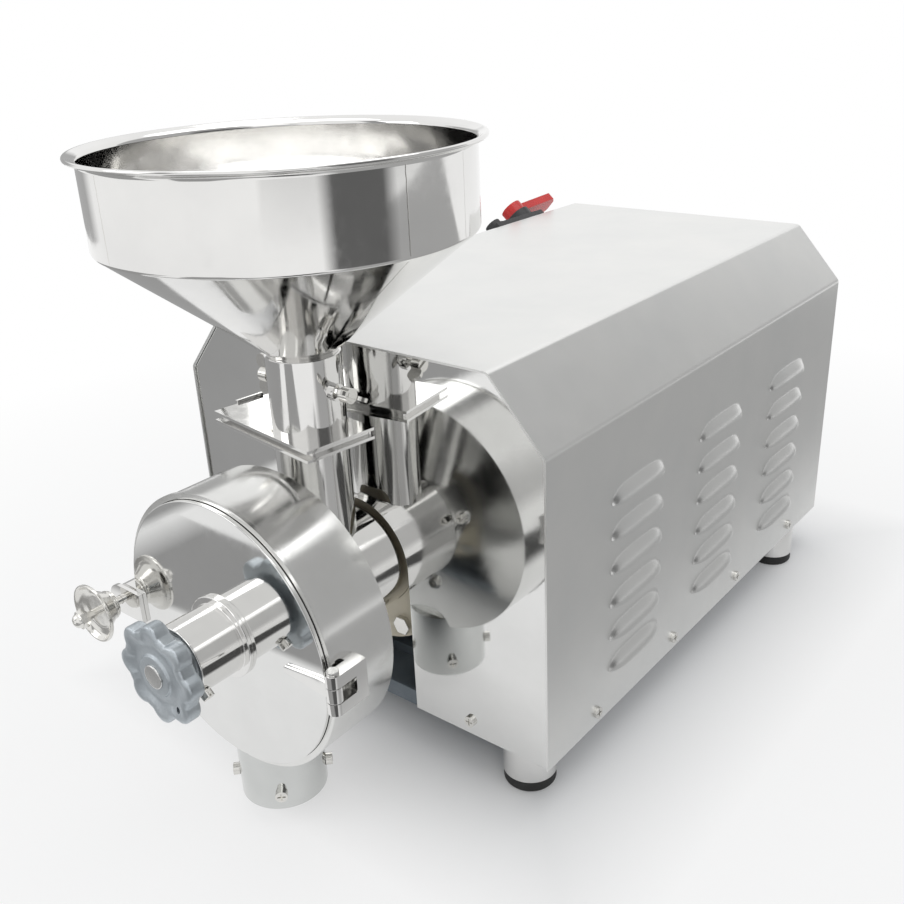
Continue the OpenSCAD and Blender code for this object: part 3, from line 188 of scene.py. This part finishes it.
ROUND = (1, 1, 1)
MATERIALS = {
    "brushed_stainless": steel(
        "brushed_steel", bright=(0.80, 0.80, 0.785), dull=(0.76, 0.765, 0.755), rough=0.30, more_rough=0.05,
        grain=(1, 80, 1), grain_depth=0.0012, wave=(1, 3, 1), wave_depth=0.12, wave_size=110),
    "polished_stainless": steel(
        "polished_steel", bright=(0.82, 0.815, 0.80), dull=(0.76, 0.755, 0.745), rough=0.06, more_rough=0.10,
        grain=(9, 9, 9), grain_depth=0.0006, wave=ROUND, wave_depth=0.10),
    "bright_fastener": steel(
        "bright_fastener", bright=(0.80, 0.79, 0.76), dull=(0.68, 0.67, 0.64), rough=0.14, more_rough=0.14,
        grain=ROUND, grain_depth=0.01, wave=ROUND, wave_depth=0.10, wave_size=9),
    "turned_steel": steel(
        "turned_steel", bright=(0.74, 0.74, 0.73), dull=(0.64, 0.64, 0.63), rough=0.20, more_rough=0.12,
        grain=(4, 4, 4), grain_depth=0.005, wave=ROUND, wave_depth=0.02),
    "cast_aluminium": painted(
        "cast_aluminium", (0.53, 0.57, 0.60), (0.43, 0.47, 0.50), rough=0.38, grain=1.6, depth=0.10,
        metallic=0.9),
    "cream_paint": painted(
        "cream_paint", (0.86, 0.80, 0.66), (0.78, 0.71, 0.56), rough=0.35, grain=2.2, depth=0.08),
    "motor_paint": painted(
        "motor_paint", (0.34, 0.42, 0.50), (0.27, 0.34, 0.41), rough=0.42, grain=1.8, depth=0.08),
    "tray_paint": painted(
        "tray_paint", (0.20, 0.235, 0.27), (0.15, 0.18, 0.21), rough=0.40, grain=1.2, depth=0.05),
    "black_plastic": painted(
        "black_plastic", (0.035, 0.036, 0.038), (0.02, 0.02, 0.022), rough=0.36, grain=0.7, depth=0.03),
    "red_plastic": painted(
        "red_plastic", (0.72, 0.035, 0.03), (0.60, 0.02, 0.02), rough=0.24, grain=0.9, depth=0.015),
    "black_rubber": painted(
        "black_rubber", (0.03, 0.03, 0.03), (0.015, 0.015, 0.015), rough=0.62, grain=0.8, depth=0.08),
    "emery": painted(
        "emery_stone", (0.42, 0.39, 0.34), (0.24, 0.22, 0.20), rough=0.88, grain=0.9, depth=0.25),
    "iron": painted(
        "cast_iron", (0.30, 0.30, 0.31), (0.20, 0.20, 0.21), rough=0.50, grain=1.4, depth=0.12,
        metallic=0.85),
}
SATIN = steel(
    "satin_steel", bright=(0.80, 0.80, 0.785), dull=(0.74, 0.74, 0.725), rough=0.15, more_rough=0.08,
    grain=(9, 9, 9), grain_depth=0.0008, wave=ROUND, wave_depth=0.10)
MIRROR = steel(
    "sheet_steel", bright=(0.80, 0.80, 0.79), dull=(0.75, 0.75, 0.74), rough=0.035, more_rough=0.05,
    grain=(6, 6, 6), grain_depth=0.0004, wave=ROUND, wave_depth=0.05, wave_size=120)
GREYER = steel(
    "spout_steel", bright=(0.68, 0.69, 0.68), dull=(0.60, 0.61, 0.60), rough=0.12, more_rough=0.08,
    grain=(9, 9, 9), grain_depth=0.0008, wave=ROUND, wave_depth=0.10)
FINISH = {"front_panel": MIRROR, "front_door": MIRROR, "drum": SATIN, "discharge_spout": GREYER}


# Meshes
# The largest share of a side that one rounded corner takes
CORNER_SHARE = 0.48
# A point of a profile nearer to the axis than this lies on it
ON_AXIS = 1e-4


def rounded(points, steps=4):
    """A profile whose points (a, b, radius) have their corners rounded."""
    made = []
    for i, point in enumerate(points):
        if len(point) < 3 or i in (0, len(points) - 1):
            made.append(Vector(point[:2]))
            continue
        here, back, on = (Vector(points[j][:2]) for j in (i, i - 1, i + 1))
        to_back, to_on = back - here, on - here
        reach = min(point[2], CORNER_SHARE * to_back.length, CORNER_SHARE * to_on.length)
        start, end = here + to_back.normalized() * reach, here + to_on.normalized() * reach
        for k in range(steps + 1):
            t = k / steps
            made.append(start * (1 - t) ** 2 + here * (2 * t * (1 - t)) + end * t ** 2)
    return made


def add(name, bm, node, slot=None, finish=None, angle=36, even=True):
    """A piece from a mesh already in the shared frame. It replaces the CAD node and rides with it."""
    bmesh.ops.recalc_face_normals(bm, faces=bm.faces)
    mesh = bpy.data.meshes.new(name)
    bm.to_mesh(mesh)
    bm.free()
    for face in mesh.polygons:
        face.use_smooth = True
    mesh.set_sharp_from_angle(angle=math.radians(angle))
    piece = bpy.data.objects.new(name, mesh)
    bpy.context.scene.collection.objects.link(piece)
    slot = slot or SLOT[node]
    mesh.materials.append(finish or FINISH.get(node, MATERIALS[slot]))
    if even:
        normals = piece.modifiers.new("even_normals", "WEIGHTED_NORMAL")
        normals.keep_sharp = True
        normals.weight = 80
    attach(piece, NODES[node]["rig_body"])
    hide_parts(node)
    return piece


def turn_points(bm, profile, count, way, at, closed):
    """Adds a profile (radius, place) turned about the shaft's direction ("y") or about the vertical ("z")."""
    x, y, z = at
    rings = []
    for radius, along in profile:
        ring = []
        for k in range(1 if radius < ON_AXIS else count):
            a = 2 * math.pi * k / count
            u, v = radius * math.cos(a), radius * math.sin(a)
            point = place(x + u, y + along, z + v) if way == "y" else place(x + u, y + v, z + along)
            ring.append(bm.verts.new(point))
        rings.append(ring)
    pairs = list(zip(rings, rings[1:]))
    if closed:
        pairs.append((rings[-1], rings[0]))
    for low, high in pairs:
        for k in range(count):
            n = (k + 1) % count
            corners = [low[k % len(low)], low[n % len(low)], high[n % len(high)], high[k % len(high)]]
            corners = [c for i, c in enumerate(corners) if c not in corners[:i]]
            if len(corners) > 2:
                bm.faces.new(corners)


def turned(name, node, profile, way="y", at=(0, 0, SHAFT), count=160, closed=True):
    """One turned piece, or one at each of several places."""
    bm = bmesh.new()
    for spot in at if isinstance(at, list) else [at]:
        turn_points(bm, rounded(profile), count, way, spot, closed)
    return add(name, bm, node)


def dressed(node, edge):
    """The CAD node's own shape with its sharp edges rounded by edge millimetres."""
    merge, flat, sharp_from = 1e-6, math.radians(0.4), math.radians(30)
    bm = bmesh.new()
    bm.from_mesh(NODES[node].data)
    bmesh.ops.remove_doubles(bm, verts=bm.verts, dist=merge)
    bmesh.ops.dissolve_limit(bm, angle_limit=flat, verts=bm.verts, edges=bm.edges)
    sharp = [e for e in bm.edges if len(e.link_faces) == 2 and e.calc_face_angle(0) > sharp_from]
    bmesh.ops.bevel(bm, geom=sharp, offset=edge * MM, offset_type="OFFSET", segments=2, profile=0.6,
                    affect="EDGES", clamp_overlap=True)
    return add("dressed_" + node, bm, node)


# The cover: one bent sheet with pressed louvers
SHEET, BEND_R = 1.5, 2.4
LOUVER_L, LOUVER_H, LOUVER_D = 70.0, 12.0, 6.0
LOUVER_PITCH = 126.0
LOUVER_ROWS = [35.0 + 26.0 * k for k in range(6)]
LOUVER_COLS = [110.0 + LOUVER_PITCH * k for k in range(3)]
# The height of the thin row of faces under each louver that is left out as its slit
SLIT = 0.15
# A louver stands open where it is deeper than this
OPEN_FROM = 1.0
# The sheet's grid: rows over the side, lines across its top, and places along it
LOW_ROWS, HIGH_ROWS = [0, 2, 10, 20, 30], [200, 215]
TOP_LINES = (60.0, 20.0)
FRONT_PLACES, LAST_PLACE, REAR_PLACE = [EDGE_FRONT, 0, 12, 30, 50], 440, 452
ROW_STEPS, HALF_STEPS = 11, 12
MARGIN = 3


def louver_depth(y, z):
    """How far the side stands out at a place on it: a scoop with round ends, deepest at its lower edge."""
    column = min(LOUVER_COLS, key=lambda c: abs(c - y))
    t = abs(y - column) / (LOUVER_L / 2)
    if t >= 1:
        return 0.0
    for row in LOUVER_ROWS:
        up = z - row
        top = LOUVER_H * math.sqrt(1 - t ** 4)
        if 0 <= up < top:
            return LOUVER_D * (1 - t ** 3.5) ** 0.6 * (1 - (up / top) ** 2) ** 1.15
    return 0.0


def cover_path():
    """The cover's outline across the mill, as (x, z, on the side) from the right edge to the left one."""
    side_z = list(LOW_ROWS)
    for row in LOUVER_ROWS:
        scoop = [row + LOUVER_H * k / ROW_STEPS for k in range(ROW_STEPS + 1)]
        side_z += [row - SLIT] + scoop + [row + LOUVER_H + 2]
    side_z = sorted(set(side_z)) + HIGH_ROWS
    half_w = HOUSE_W / 2
    bend = rounded([(half_w, HIGH_ROWS[-1]), (half_w, HOUSE_H - CHAMFER_H, BEND_R),
                    (half_w - CHAMFER_W, HOUSE_H, BEND_R), (TOP_LINES[0], HOUSE_H)], 5)[1:]
    half = [(half_w, z, True) for z in side_z] + [(p.x, p.y, False) for p in bend]
    half.append((TOP_LINES[1], HOUSE_H, False))
    return half + [(-x, z, side) for x, z, side in reversed(half)]


def cover_places():
    """The places along the mill where the cover's grid has a line, close together at the louvers' ends."""
    ys = list(FRONT_PLACES)
    reach = LOUVER_L / 2
    turns = [math.pi / 2 * k / HALF_STEPS for k in range(-HALF_STEPS, HALF_STEPS + 1)]
    for column in LOUVER_COLS:
        ys += [column + reach * math.sin(turn) for turn in turns]
        ys += [column + reach + MARGIN, column - reach - MARGIN, column + LOUVER_PITCH / 2]
    return sorted(set(y for y in ys if y < LAST_PLACE)) + [REAR_PLACE, EDGE_REAR]


def cover():
    """The sheet, with a slit under each louver."""
    path, ys = cover_path(), cover_places()
    bm = bmesh.new()
    grid = []
    for y in ys:
        line = []
        for x, z, side in path:
            out = louver_depth(y, z) if side else 0
            line.append(bm.verts.new(place(x + math.copysign(out, x), y, z)))
        grid.append(line)
    for i in range(len(ys) - 1):
        middle = (ys[i] + ys[i + 1]) / 2
        for k in range(len(path) - 1):
            low, high = path[k], path[k + 1]
            lip = max(low[1], high[1])
            is_slit = low[2] and high[2] and abs(abs(high[1] - low[1]) - SLIT) < 0.01
            if is_slit and louver_depth(middle, lip) > OPEN_FROM:
                continue
            bm.faces.new([grid[i][k], grid[i + 1][k], grid[i + 1][k + 1], grid[i][k + 1]])
    bmesh.ops.recalc_face_normals(bm, faces=bm.faces)
    top = max(bm.faces, key=lambda f: f.calc_center_median().z)
    if top.normal.z < 0:
        bmesh.ops.reverse_faces(bm, faces=bm.faces)
    bmesh.ops.solidify(bm, geom=bm.faces, thickness=SHEET * MM)
    add("cover_sheet", bm, "cover_shell", angle=40)


cover()

# Turned pieces in the shaft's direction. Each profile is (radius, place along it, radius of the corner)
DOOR_OUT, DOOR_IN = -124.5, -121.5
HUB_END, HUB_RING = -160.0, 3.0
LATCH = (-106.8, 0, 103.3)
turned("door_disc", "front_door", [
    (19.1, DOOR_OUT), (90.3, DOOR_OUT, 0.7), (90.3, DOOR_IN, 0.5), (19.1, DOOR_IN)], count=224)
turned("hub_sleeve", "hub_tube", [
    (19.0, DOOR_OUT), (28.0, DOOR_OUT, 0.2), (28.0, DOOR_OUT - HUB_RING, 0.9),
    (23.5, DOOR_OUT - HUB_RING, 0.6), (23.5, HUB_END, 0.9), (19.0, HUB_END, 0.5)])
turned("neck_tube", "neck", [
    (34, -67.5), (56, -67.5, 0.5), (56, -63.5, 0.5), (40.8, -63.5, 1.2), (40.8, 19), (30, 19), (30, -3),
    (34, -3)])
turned("thumb_nut", "latch_nut", [
    (3.05, -135.5), (10.5, -135.5, 0.8), (10.5, -137.6, 1.2), (16.1, -146.2, 2.0), (21, -147.7, 1.0),
    (21, -150, 0.8), (19.7, -150, 0.7), (17.5, -147, 1.5), (12.5, -145, 1.5), (3.05, -145)],
    at=LATCH, count=112)
turned("feed_screw", "adjusting_screw", [
    (0, -178), (8, -178, 0.9), (8, -174, 0.2), (7.6, -173.6, 0.2), (8, -173.2, 0.2), (8, -147.3, 0.5),
    (0, -147.3)], count=64, closed=False)

# Feet: a steel cup on a rubber pad, two in front and two further out at the rear
FEET = [(side * x, y, 0) for side in (-1, 1) for x, y in ((127, 25), (140, 414.5))]
turned("foot_shells", "foot_cups", [
    (4.2, 0), (19, 0, 0.8), (19, -29, 0.6), (17.5, -29, 0.5), (17.5, -1.5), (4.2, -1.5)], "z", FEET, 72)
turned("rubber_pads", "foot_pads", [
    (0, -2), (17.3, -2), (17.3, -29.3, 0.2), (18.5, -29.3, 0.6), (18.7, -36, 1.5), (17.0, -FOOT, 0.6),
    (0, -FOOT)], "z", FEET, 72, closed=False)

# Hopper: one spun bowl with a flared lip, its weld seams, and the pipe that stands in the collar
HOPPER_R, TUBE_R, BOWL_WALL = 114.0, 22.2, 1.5
PIPE_END, CONE_Z, BAND_Z, RIM_Z = 225.4, 275.3, 348.8, 402.2
LIP_R, ROLL_R = 118.8, 1.4
rim = [(LIP_R + ROLL_R * math.cos(a), RIM_Z - ROLL_R + ROLL_R * math.sin(a))
       for a in [math.radians(-140 + 28 * k) for k in range(11)]]
outside = [(TUBE_R - BOWL_WALL, PIPE_END), (TUBE_R, PIPE_END, 0.3), (TUBE_R, CONE_Z, 3.0),
           (HOPPER_R, BAND_Z, 1.2), (HOPPER_R, RIM_Z - 4.1, 2.5)]
inside = [(HOPPER_R - BOWL_WALL, RIM_Z - 2.6, 2.5), (HOPPER_R - BOWL_WALL, BAND_Z + 0.9, 1.5),
          (TUBE_R - BOWL_WALL, CONE_Z + 0.9, 3.0)]
turned("hopper_bowl", "hopper", outside + rim + inside, "z", (0, FEED, 0), 256)


def seam(name, degrees, low, high, radius, width=1.3, proud=0.22):
    """A weld line down the hopper, ground almost flat: a strip sunk a little at its sides."""
    rows, across, sunk, waver = 12, 4, 0.12, 0.18
    bm = bmesh.new()
    a = math.radians(degrees)
    out, along = Vector((math.cos(a), math.sin(a), 0)), Vector((-math.sin(a), math.cos(a), 0))
    lines = []
    for k in range(rows + 1):
        z = low + (high - low) * k / rows
        wobble = waver * math.sin(3.1 * k + degrees)
        line = []
        for j in range(across + 1):
            share = j / across
            u = (share - 0.5) * width + wobble
            lift = proud * (1 - (2 * share - 1) ** 2) - sunk
            line.append(bm.verts.new(place(0, FEED, z) + ((radius(z) + lift) * out + u * along) * MM))
        lines.append(line)
    for one, two in zip(lines, lines[1:]):
        for j in range(across):
            bm.faces.new([one[j], one[j + 1], two[j + 1], two[j]])
    add(name, bm, "hopper", slot="polished_stainless", finish=MATERIALS["bright_fastener"], even=False)


def band_r(z):
    """The band's radius, the same at every height."""
    return HOPPER_R


def cone_r(z):
    """The cone's radius at a height."""
    return TUBE_R + (HOPPER_R - TUBE_R) * (z - CONE_Z) / (BAND_Z - CONE_Z)


SEAM_LOW, SEAM_HIGH = BAND_Z + 1.5, RIM_Z - 5.5
seam("band_seam_left", -99.0, SEAM_LOW, SEAM_HIGH, band_r)
seam("band_seam_right", -10.0, SEAM_LOW, SEAM_HIGH, band_r)
seam("band_seam_end", 15.0, SEAM_LOW, SEAM_HIGH, band_r, width=0.9, proud=0.16)
seam("cone_seam", -10.0, CONE_Z + 3, BAND_Z - 2, cone_r)


# Handwheel: a casting with eight lobes and a small hole
WHEEL_R, LOBE_R, LOBES, LOBE_DEPTH = 34.0, 7.6, 8, 4.8
WHEEL_FRONT, RIM_BACK, BOSS_BACK = -177.0, -165.0, -160.5
WHEEL_BORE = 8.05
# The radii between which the lobes begin and are whole
LOBES_FROM, LOBES_WHOLE = 17.5, 27.5
# How closely the outline keeps to the lobes and the valleys between them
CRISP = 22
# The tips' radius that comes of it, which the outline is divided by
TIP_R = 34.03
HOLE_AT_R, HOLE_R, HOLE_TURN = 24.5, 2.0, math.radians(-45)


def wheel_outline(a):
    """The handwheel's radius at an angle."""
    step = 2 * math.pi / LOBES
    d = (a + step / 2) % step - step / 2
    centre = WHEEL_R - LOBE_R
    inside = LOBE_R ** 2 - (centre * math.sin(d)) ** 2
    lobe = centre * math.cos(d) + math.sqrt(inside) if inside > 0 else 0
    valley = WHEEL_R - LOBE_DEPTH
    return (valley ** CRISP + max(lobe, 0) ** CRISP) ** (1 / CRISP) * WHEEL_R / TIP_R


def bore(piece, at, radius, depth):
    """Cuts a round hole along Y into a piece."""
    bpy.ops.mesh.primitive_cylinder_add(vertices=32, radius=radius * MM, depth=depth * MM, location=at,
                                        rotation=(math.pi / 2, 0, 0))
    drill = bpy.context.object
    cut = piece.modifiers.new("small_hole", "BOOLEAN")
    cut.operation, cut.solver, cut.object = "DIFFERENCE", "EXACT", drill
    bpy.context.view_layer.update()
    bored = bpy.data.meshes.new_from_object(piece.evaluated_get(bpy.context.evaluated_depsgraph_get()))
    piece.modifiers.clear()
    piece.data = bored
    bpy.data.objects.remove(drill)


def handwheel():
    """The casting: a turned section whose rim follows the lobes."""
    count = 256
    section = rounded([
        (WHEEL_BORE, WHEEL_FRONT + 0.2), (13.2, WHEEL_FRONT + 0.2, 0.8), (14.2, WHEEL_FRONT + 1.9, 0.8),
        (19.5, WHEEL_FRONT + 2.6, 3.0), (27.5, WHEEL_FRONT + 0.5, 3.0), (30.5, WHEEL_FRONT + 0.1, 2.5),
        (WHEEL_R, WHEEL_FRONT + 1.2, 3.4), (WHEEL_R, RIM_BACK - 0.8, 3.4), (29.0, RIM_BACK, 2.0),
        (17.5, RIM_BACK, 1.5), (15.3, RIM_BACK + 1.5, 0.8), (15.0, BOSS_BACK, 0.6), (WHEEL_BORE, BOSS_BACK)
    ], 5)
    bm = bmesh.new()
    rings = []
    for p in section:
        share = min(1.0, max(0.0, (p.x - LOBES_FROM) / (LOBES_WHOLE - LOBES_FROM)))
        share = share * share * (3 - 2 * share)
        ring = []
        for k in range(count):
            a = 2 * math.pi * k / count
            r = p.x * (1 + share * (wheel_outline(a) / WHEEL_R - 1))
            ring.append(bm.verts.new(place(r * math.cos(a), p.y, SHAFT + r * math.sin(a))))
        rings.append(ring)
    for one, two in zip(rings, rings[1:] + rings[:1]):
        for k in range(count):
            n = (k + 1) % count
            bm.faces.new([one[k], one[n], two[n], two[k]])
    wheel = add("cast_handwheel", bm, "handwheel", angle=50, even=False)
    x, z = HOLE_AT_R * math.cos(HOLE_TURN), SHAFT + HOLE_AT_R * math.sin(HOLE_TURN)
    bore(wheel, place(x, WHEEL_FRONT + 3, z), HOLE_R, 12)


handwheel()

# Pieces whose CAD shape is right and needs its edges rounded, by this many millimetres
EDGES = {
    "drum": 0.5, "front_panel": 0.25, "rear_panel": 0.4, "base_tray": 0.5, "casing_screws": 0.5,
    "drum_screws": 0.4, "spout_screws": 0.5, "lock_screw": 0.3, "adjusting_plug": 0.3, "hinge_strap": 0.5,
    "hinge_bracket": 1.1, "hinge_pin": 0.4, "latch_ear": 0.6, "latch_lug": 0.8, "latch_stud": 0.6,
    "latch_washer": 0.3, "discharge_spout": 0.3, "feed_tube": 0.2, "hopper_collar": 0.3, "gate_guide": 0.3,
    "slide_gate": 0.4, "wing_screw_left": 0.7, "wing_screw_right": 0.7, "switch_body": 0.7,
    "switch_handle": 1.4, "push_button": 0.8, "cable_gland": 0.5, "neck_flange": 0.6,
    "motor_front_bell": 1.0, "neck_bolts": 0.4, "tray_bolts": 0.4,
}
for node, edge in EDGES.items():
    dressed(node, edge)

# CAD nodes that stay: they are inside the drum or the housing
for node, piece in NODES.items():
    if not piece.hide_render:
        piece.data.materials.clear()
        piece.data.materials.append(MATERIALS[SLOT[node]])

# Camera, at the photograph's place and angle
CAMERA_AT = (0.4630, -0.6011, 0.5093)
TURN, DROP, ROLL = math.radians(39.685), math.radians(23.716), math.radians(-2.665)
camera = bpy.data.objects.new("camera", bpy.data.cameras.new("camera"))
bpy.context.scene.collection.objects.link(camera)
bpy.context.scene.camera = camera
look = Vector((-math.sin(TURN) * math.cos(DROP), math.cos(TURN) * math.cos(DROP), -math.sin(DROP)))
level = Vector((math.cos(TURN), math.sin(TURN), 0))
upright = level.cross(look)
right = math.cos(ROLL) * level + math.sin(ROLL) * upright
up = math.cos(ROLL) * upright - math.sin(ROLL) * level
camera.matrix_world = Matrix.Translation(CAMERA_AT) @ Matrix((right, up, -look)).transposed().to_4x4()
camera.data.sensor_width = 36.0
camera.data.lens = 41.08
camera.data.clip_start, camera.data.clip_end = 0.02, 60.0
bpy.context.scene.view_settings.view_transform = "Standard"


# Studio: a pale floor, a soft white surround, lamps, and grey cards that only the metal's reflections show
def seen_ray(tree):
    """1 on a ray from the camera, in a reflection or through glass."""
    path = tree.nodes.new("ShaderNodeLightPath")
    either = maths(tree, "MAXIMUM", path.outputs["Is Camera Ray"], path.outputs["Is Glossy Ray"])
    return maths(tree, "MAXIMUM", either, path.outputs["Is Transmission Ray"])


def surround():
    """White where it is seen, and softer as a light."""
    world = bpy.data.worlds.new("studio")
    bpy.context.scene.world = world
    world.use_nodes = True
    tree = world.node_tree
    tree.nodes.clear()
    soft, white = tree.nodes.new("ShaderNodeBackground"), tree.nodes.new("ShaderNodeBackground")
    soft.inputs["Strength"].default_value = 0.50
    soft.inputs["Color"].default_value = (0.96, 0.98, 1.0, 1)
    white.inputs["Strength"].default_value = 1.0
    white.inputs["Color"].default_value = (1, 1, 1, 1)
    mixed = tree.nodes.new("ShaderNodeMixShader")
    tree.links.new(seen_ray(tree), mixed.inputs["Fac"])
    tree.links.new(soft.outputs[0], mixed.inputs[1])
    tree.links.new(white.outputs[0], mixed.inputs[2])
    tree.links.new(mixed.outputs[0], tree.nodes.new("ShaderNodeOutputWorld").inputs["Surface"])


def plane(name, corners, made):
    """A stage plane with four corners, mapped from 0 to 1."""
    bm = bmesh.new()
    bm.faces.new([bm.verts.new(c) for c in corners])
    mesh = bpy.data.meshes.new(name)
    bm.to_mesh(mesh)
    bm.free()
    layer = mesh.uv_layers.new(name="card")
    for loop, uv in zip(layer.data, ((0, 0), (1, 0), (1, 1), (0, 1))):
        loop.uv = uv
    sheet = bpy.data.objects.new(name, mesh)
    bpy.context.scene.collection.objects.link(sheet)
    mesh.materials.append(made)
    return sheet


# The floor's half side, and the housing's footprint: half its width, its middle and half its length
FLOOR_HALF = 8
PRINT_HALF_W, PRINT_MIDDLE, PRINT_HALF_L = 0.16, 0.08, 0.24
# How far from the footprint the shadow begins to fade and is gone, and the radii where the floor turns white
SHADOW_FROM, SHADOW_TO = -0.05, 0.10
WHITE_FROM, WHITE_TO = 0.42, 0.95
# How white the floor is where the shadow is gone, before it turns all white
FADED = 0.72


def floor():
    """A pale floor that keeps the shadow by the mill and runs out into white where it is seen."""
    made, tree, shader, coords = material("pale_floor", (0.92, 0.92, 0.92), 0.0, 0.9)
    shader.inputs["Specular IOR Level"].default_value = 0.0
    white = tree.nodes.new("ShaderNodeEmission")
    mixed = tree.nodes.new("ShaderNodeMixShader")
    length = tree.nodes.new("ShaderNodeVectorMath")
    length.operation = "LENGTH"
    tree.links.new(coords, length.inputs[0])
    split = tree.nodes.new("ShaderNodeSeparateXYZ")
    tree.links.new(coords, split.inputs[0])
    across = maths(tree, "SUBTRACT", maths(tree, "ABSOLUTE", split.outputs[0]), PRINT_HALF_W)
    lengthwise = maths(tree, "ABSOLUTE", maths(tree, "SUBTRACT", split.outputs[1], PRINT_MIDDLE))
    along = maths(tree, "SUBTRACT", lengthwise, PRINT_HALF_L)
    off_print = maths(tree, "MAXIMUM", across, along)
    beside = spread(tree, off_print, 0.0, FADED, SHADOW_FROM, SHADOW_TO)
    outer = spread(tree, length.outputs["Value"], FADED, 1, WHITE_FROM, WHITE_TO)
    away = spread(tree, off_print, 0.0, 1.0, SHADOW_FROM, SHADOW_TO)
    far = maths(tree, "MULTIPLY", maths(tree, "MAXIMUM", beside, outer), away)
    tree.links.new(maths(tree, "MULTIPLY", far, seen_ray(tree)), mixed.inputs["Fac"])
    tree.links.new(shader.outputs[0], mixed.inputs[1])
    tree.links.new(white.outputs[0], mixed.inputs[2])
    tree.links.new(mixed.outputs[0], tree.nodes["Material Output"].inputs["Surface"])
    side = FLOOR_HALF
    plane("floor", [(-side, -side, 0), (side, -side, 0), (side, side, 0), (-side, side, 0)], made)


def card(name, corners, tone, edge):
    """A grey card with soft edges. Only glossy rays see it, so it lights and hides nothing."""
    made = bpy.data.materials.new(name)
    made.use_nodes = True
    made.cycles.emission_sampling = "NONE"
    tree = made.node_tree
    tree.nodes.clear()
    light = tree.nodes.new("ShaderNodeEmission")
    light.inputs["Color"].default_value = (1, 1, 1, 1)
    light.inputs["Strength"].default_value = tone
    uv = tree.nodes.new("ShaderNodeUVMap")
    split = tree.nodes.new("ShaderNodeSeparateXYZ")
    tree.links.new(uv.outputs[0], split.inputs[0])
    sides = []
    for axis in (0, 1):
        other = maths(tree, "SUBTRACT", 1.0, split.outputs[axis])
        sides.append(maths(tree, "MINIMUM", split.outputs[axis], other))
    inside = spread(tree, maths(tree, "MINIMUM", *sides), 0, 1, 0, edge)
    clear = tree.nodes.new("ShaderNodeBsdfTransparent")
    mixed = tree.nodes.new("ShaderNodeMixShader")
    tree.links.new(inside, mixed.inputs["Fac"])
    tree.links.new(clear.outputs[0], mixed.inputs[1])
    tree.links.new(light.outputs[0], mixed.inputs[2])
    tree.links.new(mixed.outputs[0], tree.nodes.new("ShaderNodeOutputMaterial").inputs["Surface"])
    sheet = plane(name, corners, made)
    for ray in ("camera", "diffuse", "transmission", "volume_scatter", "shadow"):
        setattr(sheet, "visible_" + ray, False)


def lying(height, *corners):
    """A card's corners, on the floor or just above it."""
    return [(x, y, height) for x, y in corners]


def standing(low, high, start, end):
    """A card's corners, upright over the line from start to end."""
    return [(*start, low), (*end, low), (*end, high), (*start, high)]


def lamp(name, at, aim, side, radiance):
    """A square soft box with that radiance."""
    data = bpy.data.lights.new(name, "AREA")
    data.shape = "RECTANGLE"
    data.size, data.size_y = side, side
    data.energy = radiance * math.pi * side * side
    made = bpy.data.objects.new(name, data)
    bpy.context.scene.collection.objects.link(made)
    made.location = at
    made.rotation_mode = "QUATERNION"
    made.rotation_quaternion = (Vector(aim) - Vector(at)).to_track_quat("-Z", "Y")
    made.visible_camera = False


surround()
floor()
# Heights of the cards on the floor, with one over the others
LAID, OVER = 0.002, 0.003
card("card_floor_right", lying(LAID, (0.17, -0.35), (2.4, -0.9), (2.4, 3.0), (0.17, 1.2)), 0.42, 0.04)
card("card_floor_left", lying(LAID, (-1.25, -1.3), (-0.42, -1.3), (-0.42, 0.6), (-1.25, 0.6)), 0.36, 0.03)
card("card_floor_near", lying(LAID, (-0.43, -0.54), (0.7, -0.54), (0.7, -0.47), (-0.43, -0.40)), 0.34, 0.06)
card("card_floor_front", lying(LAID, (-0.2, -1.6), (0.22, -1.6), (0.22, -0.53), (-0.2, -0.53)), 0.36, 0.03)
card("card_floor_dark", lying(OVER, (0.15, -0.58), (0.52, -0.58), (0.52, -0.33), (0.15, -0.33)), 0.09, 0.12)
card("card_right", standing(0.0, 5.0, (2.0, -0.9), (2.0, 6.5)), 0.46, 0.06)
card("card_front_right", standing(0.0, 1.6, (1.1, -1.9), (2.0, -0.7)), 0.64, 0.2)
card("card_dark", standing(-0.6, 1.4, (1.5, -0.92), (1.5, 0.36)), 0.13, 0.2)
card("card_left", standing(-0.5, 1.1, (-2.1, 2.2), (-2.1, -0.6)), 0.44, 0.15)
card("card_high", standing(0.5, 3.0, (-2.7, -2.1), (-0.4, -3.0)), 0.30, 0.15)
lamp("overhead", (0.0, 0.2, 2.3), (0, 0, 0.2), 2.2, 1.2)
lamp("key", (-1.3, -1.7, 1.3), (0, -0.1, 0.2), 1.0, 2.2)
lamp("fill", (1.9, -1.6, 1.6), (0, 0, 0.2), 1.0, 1.0)
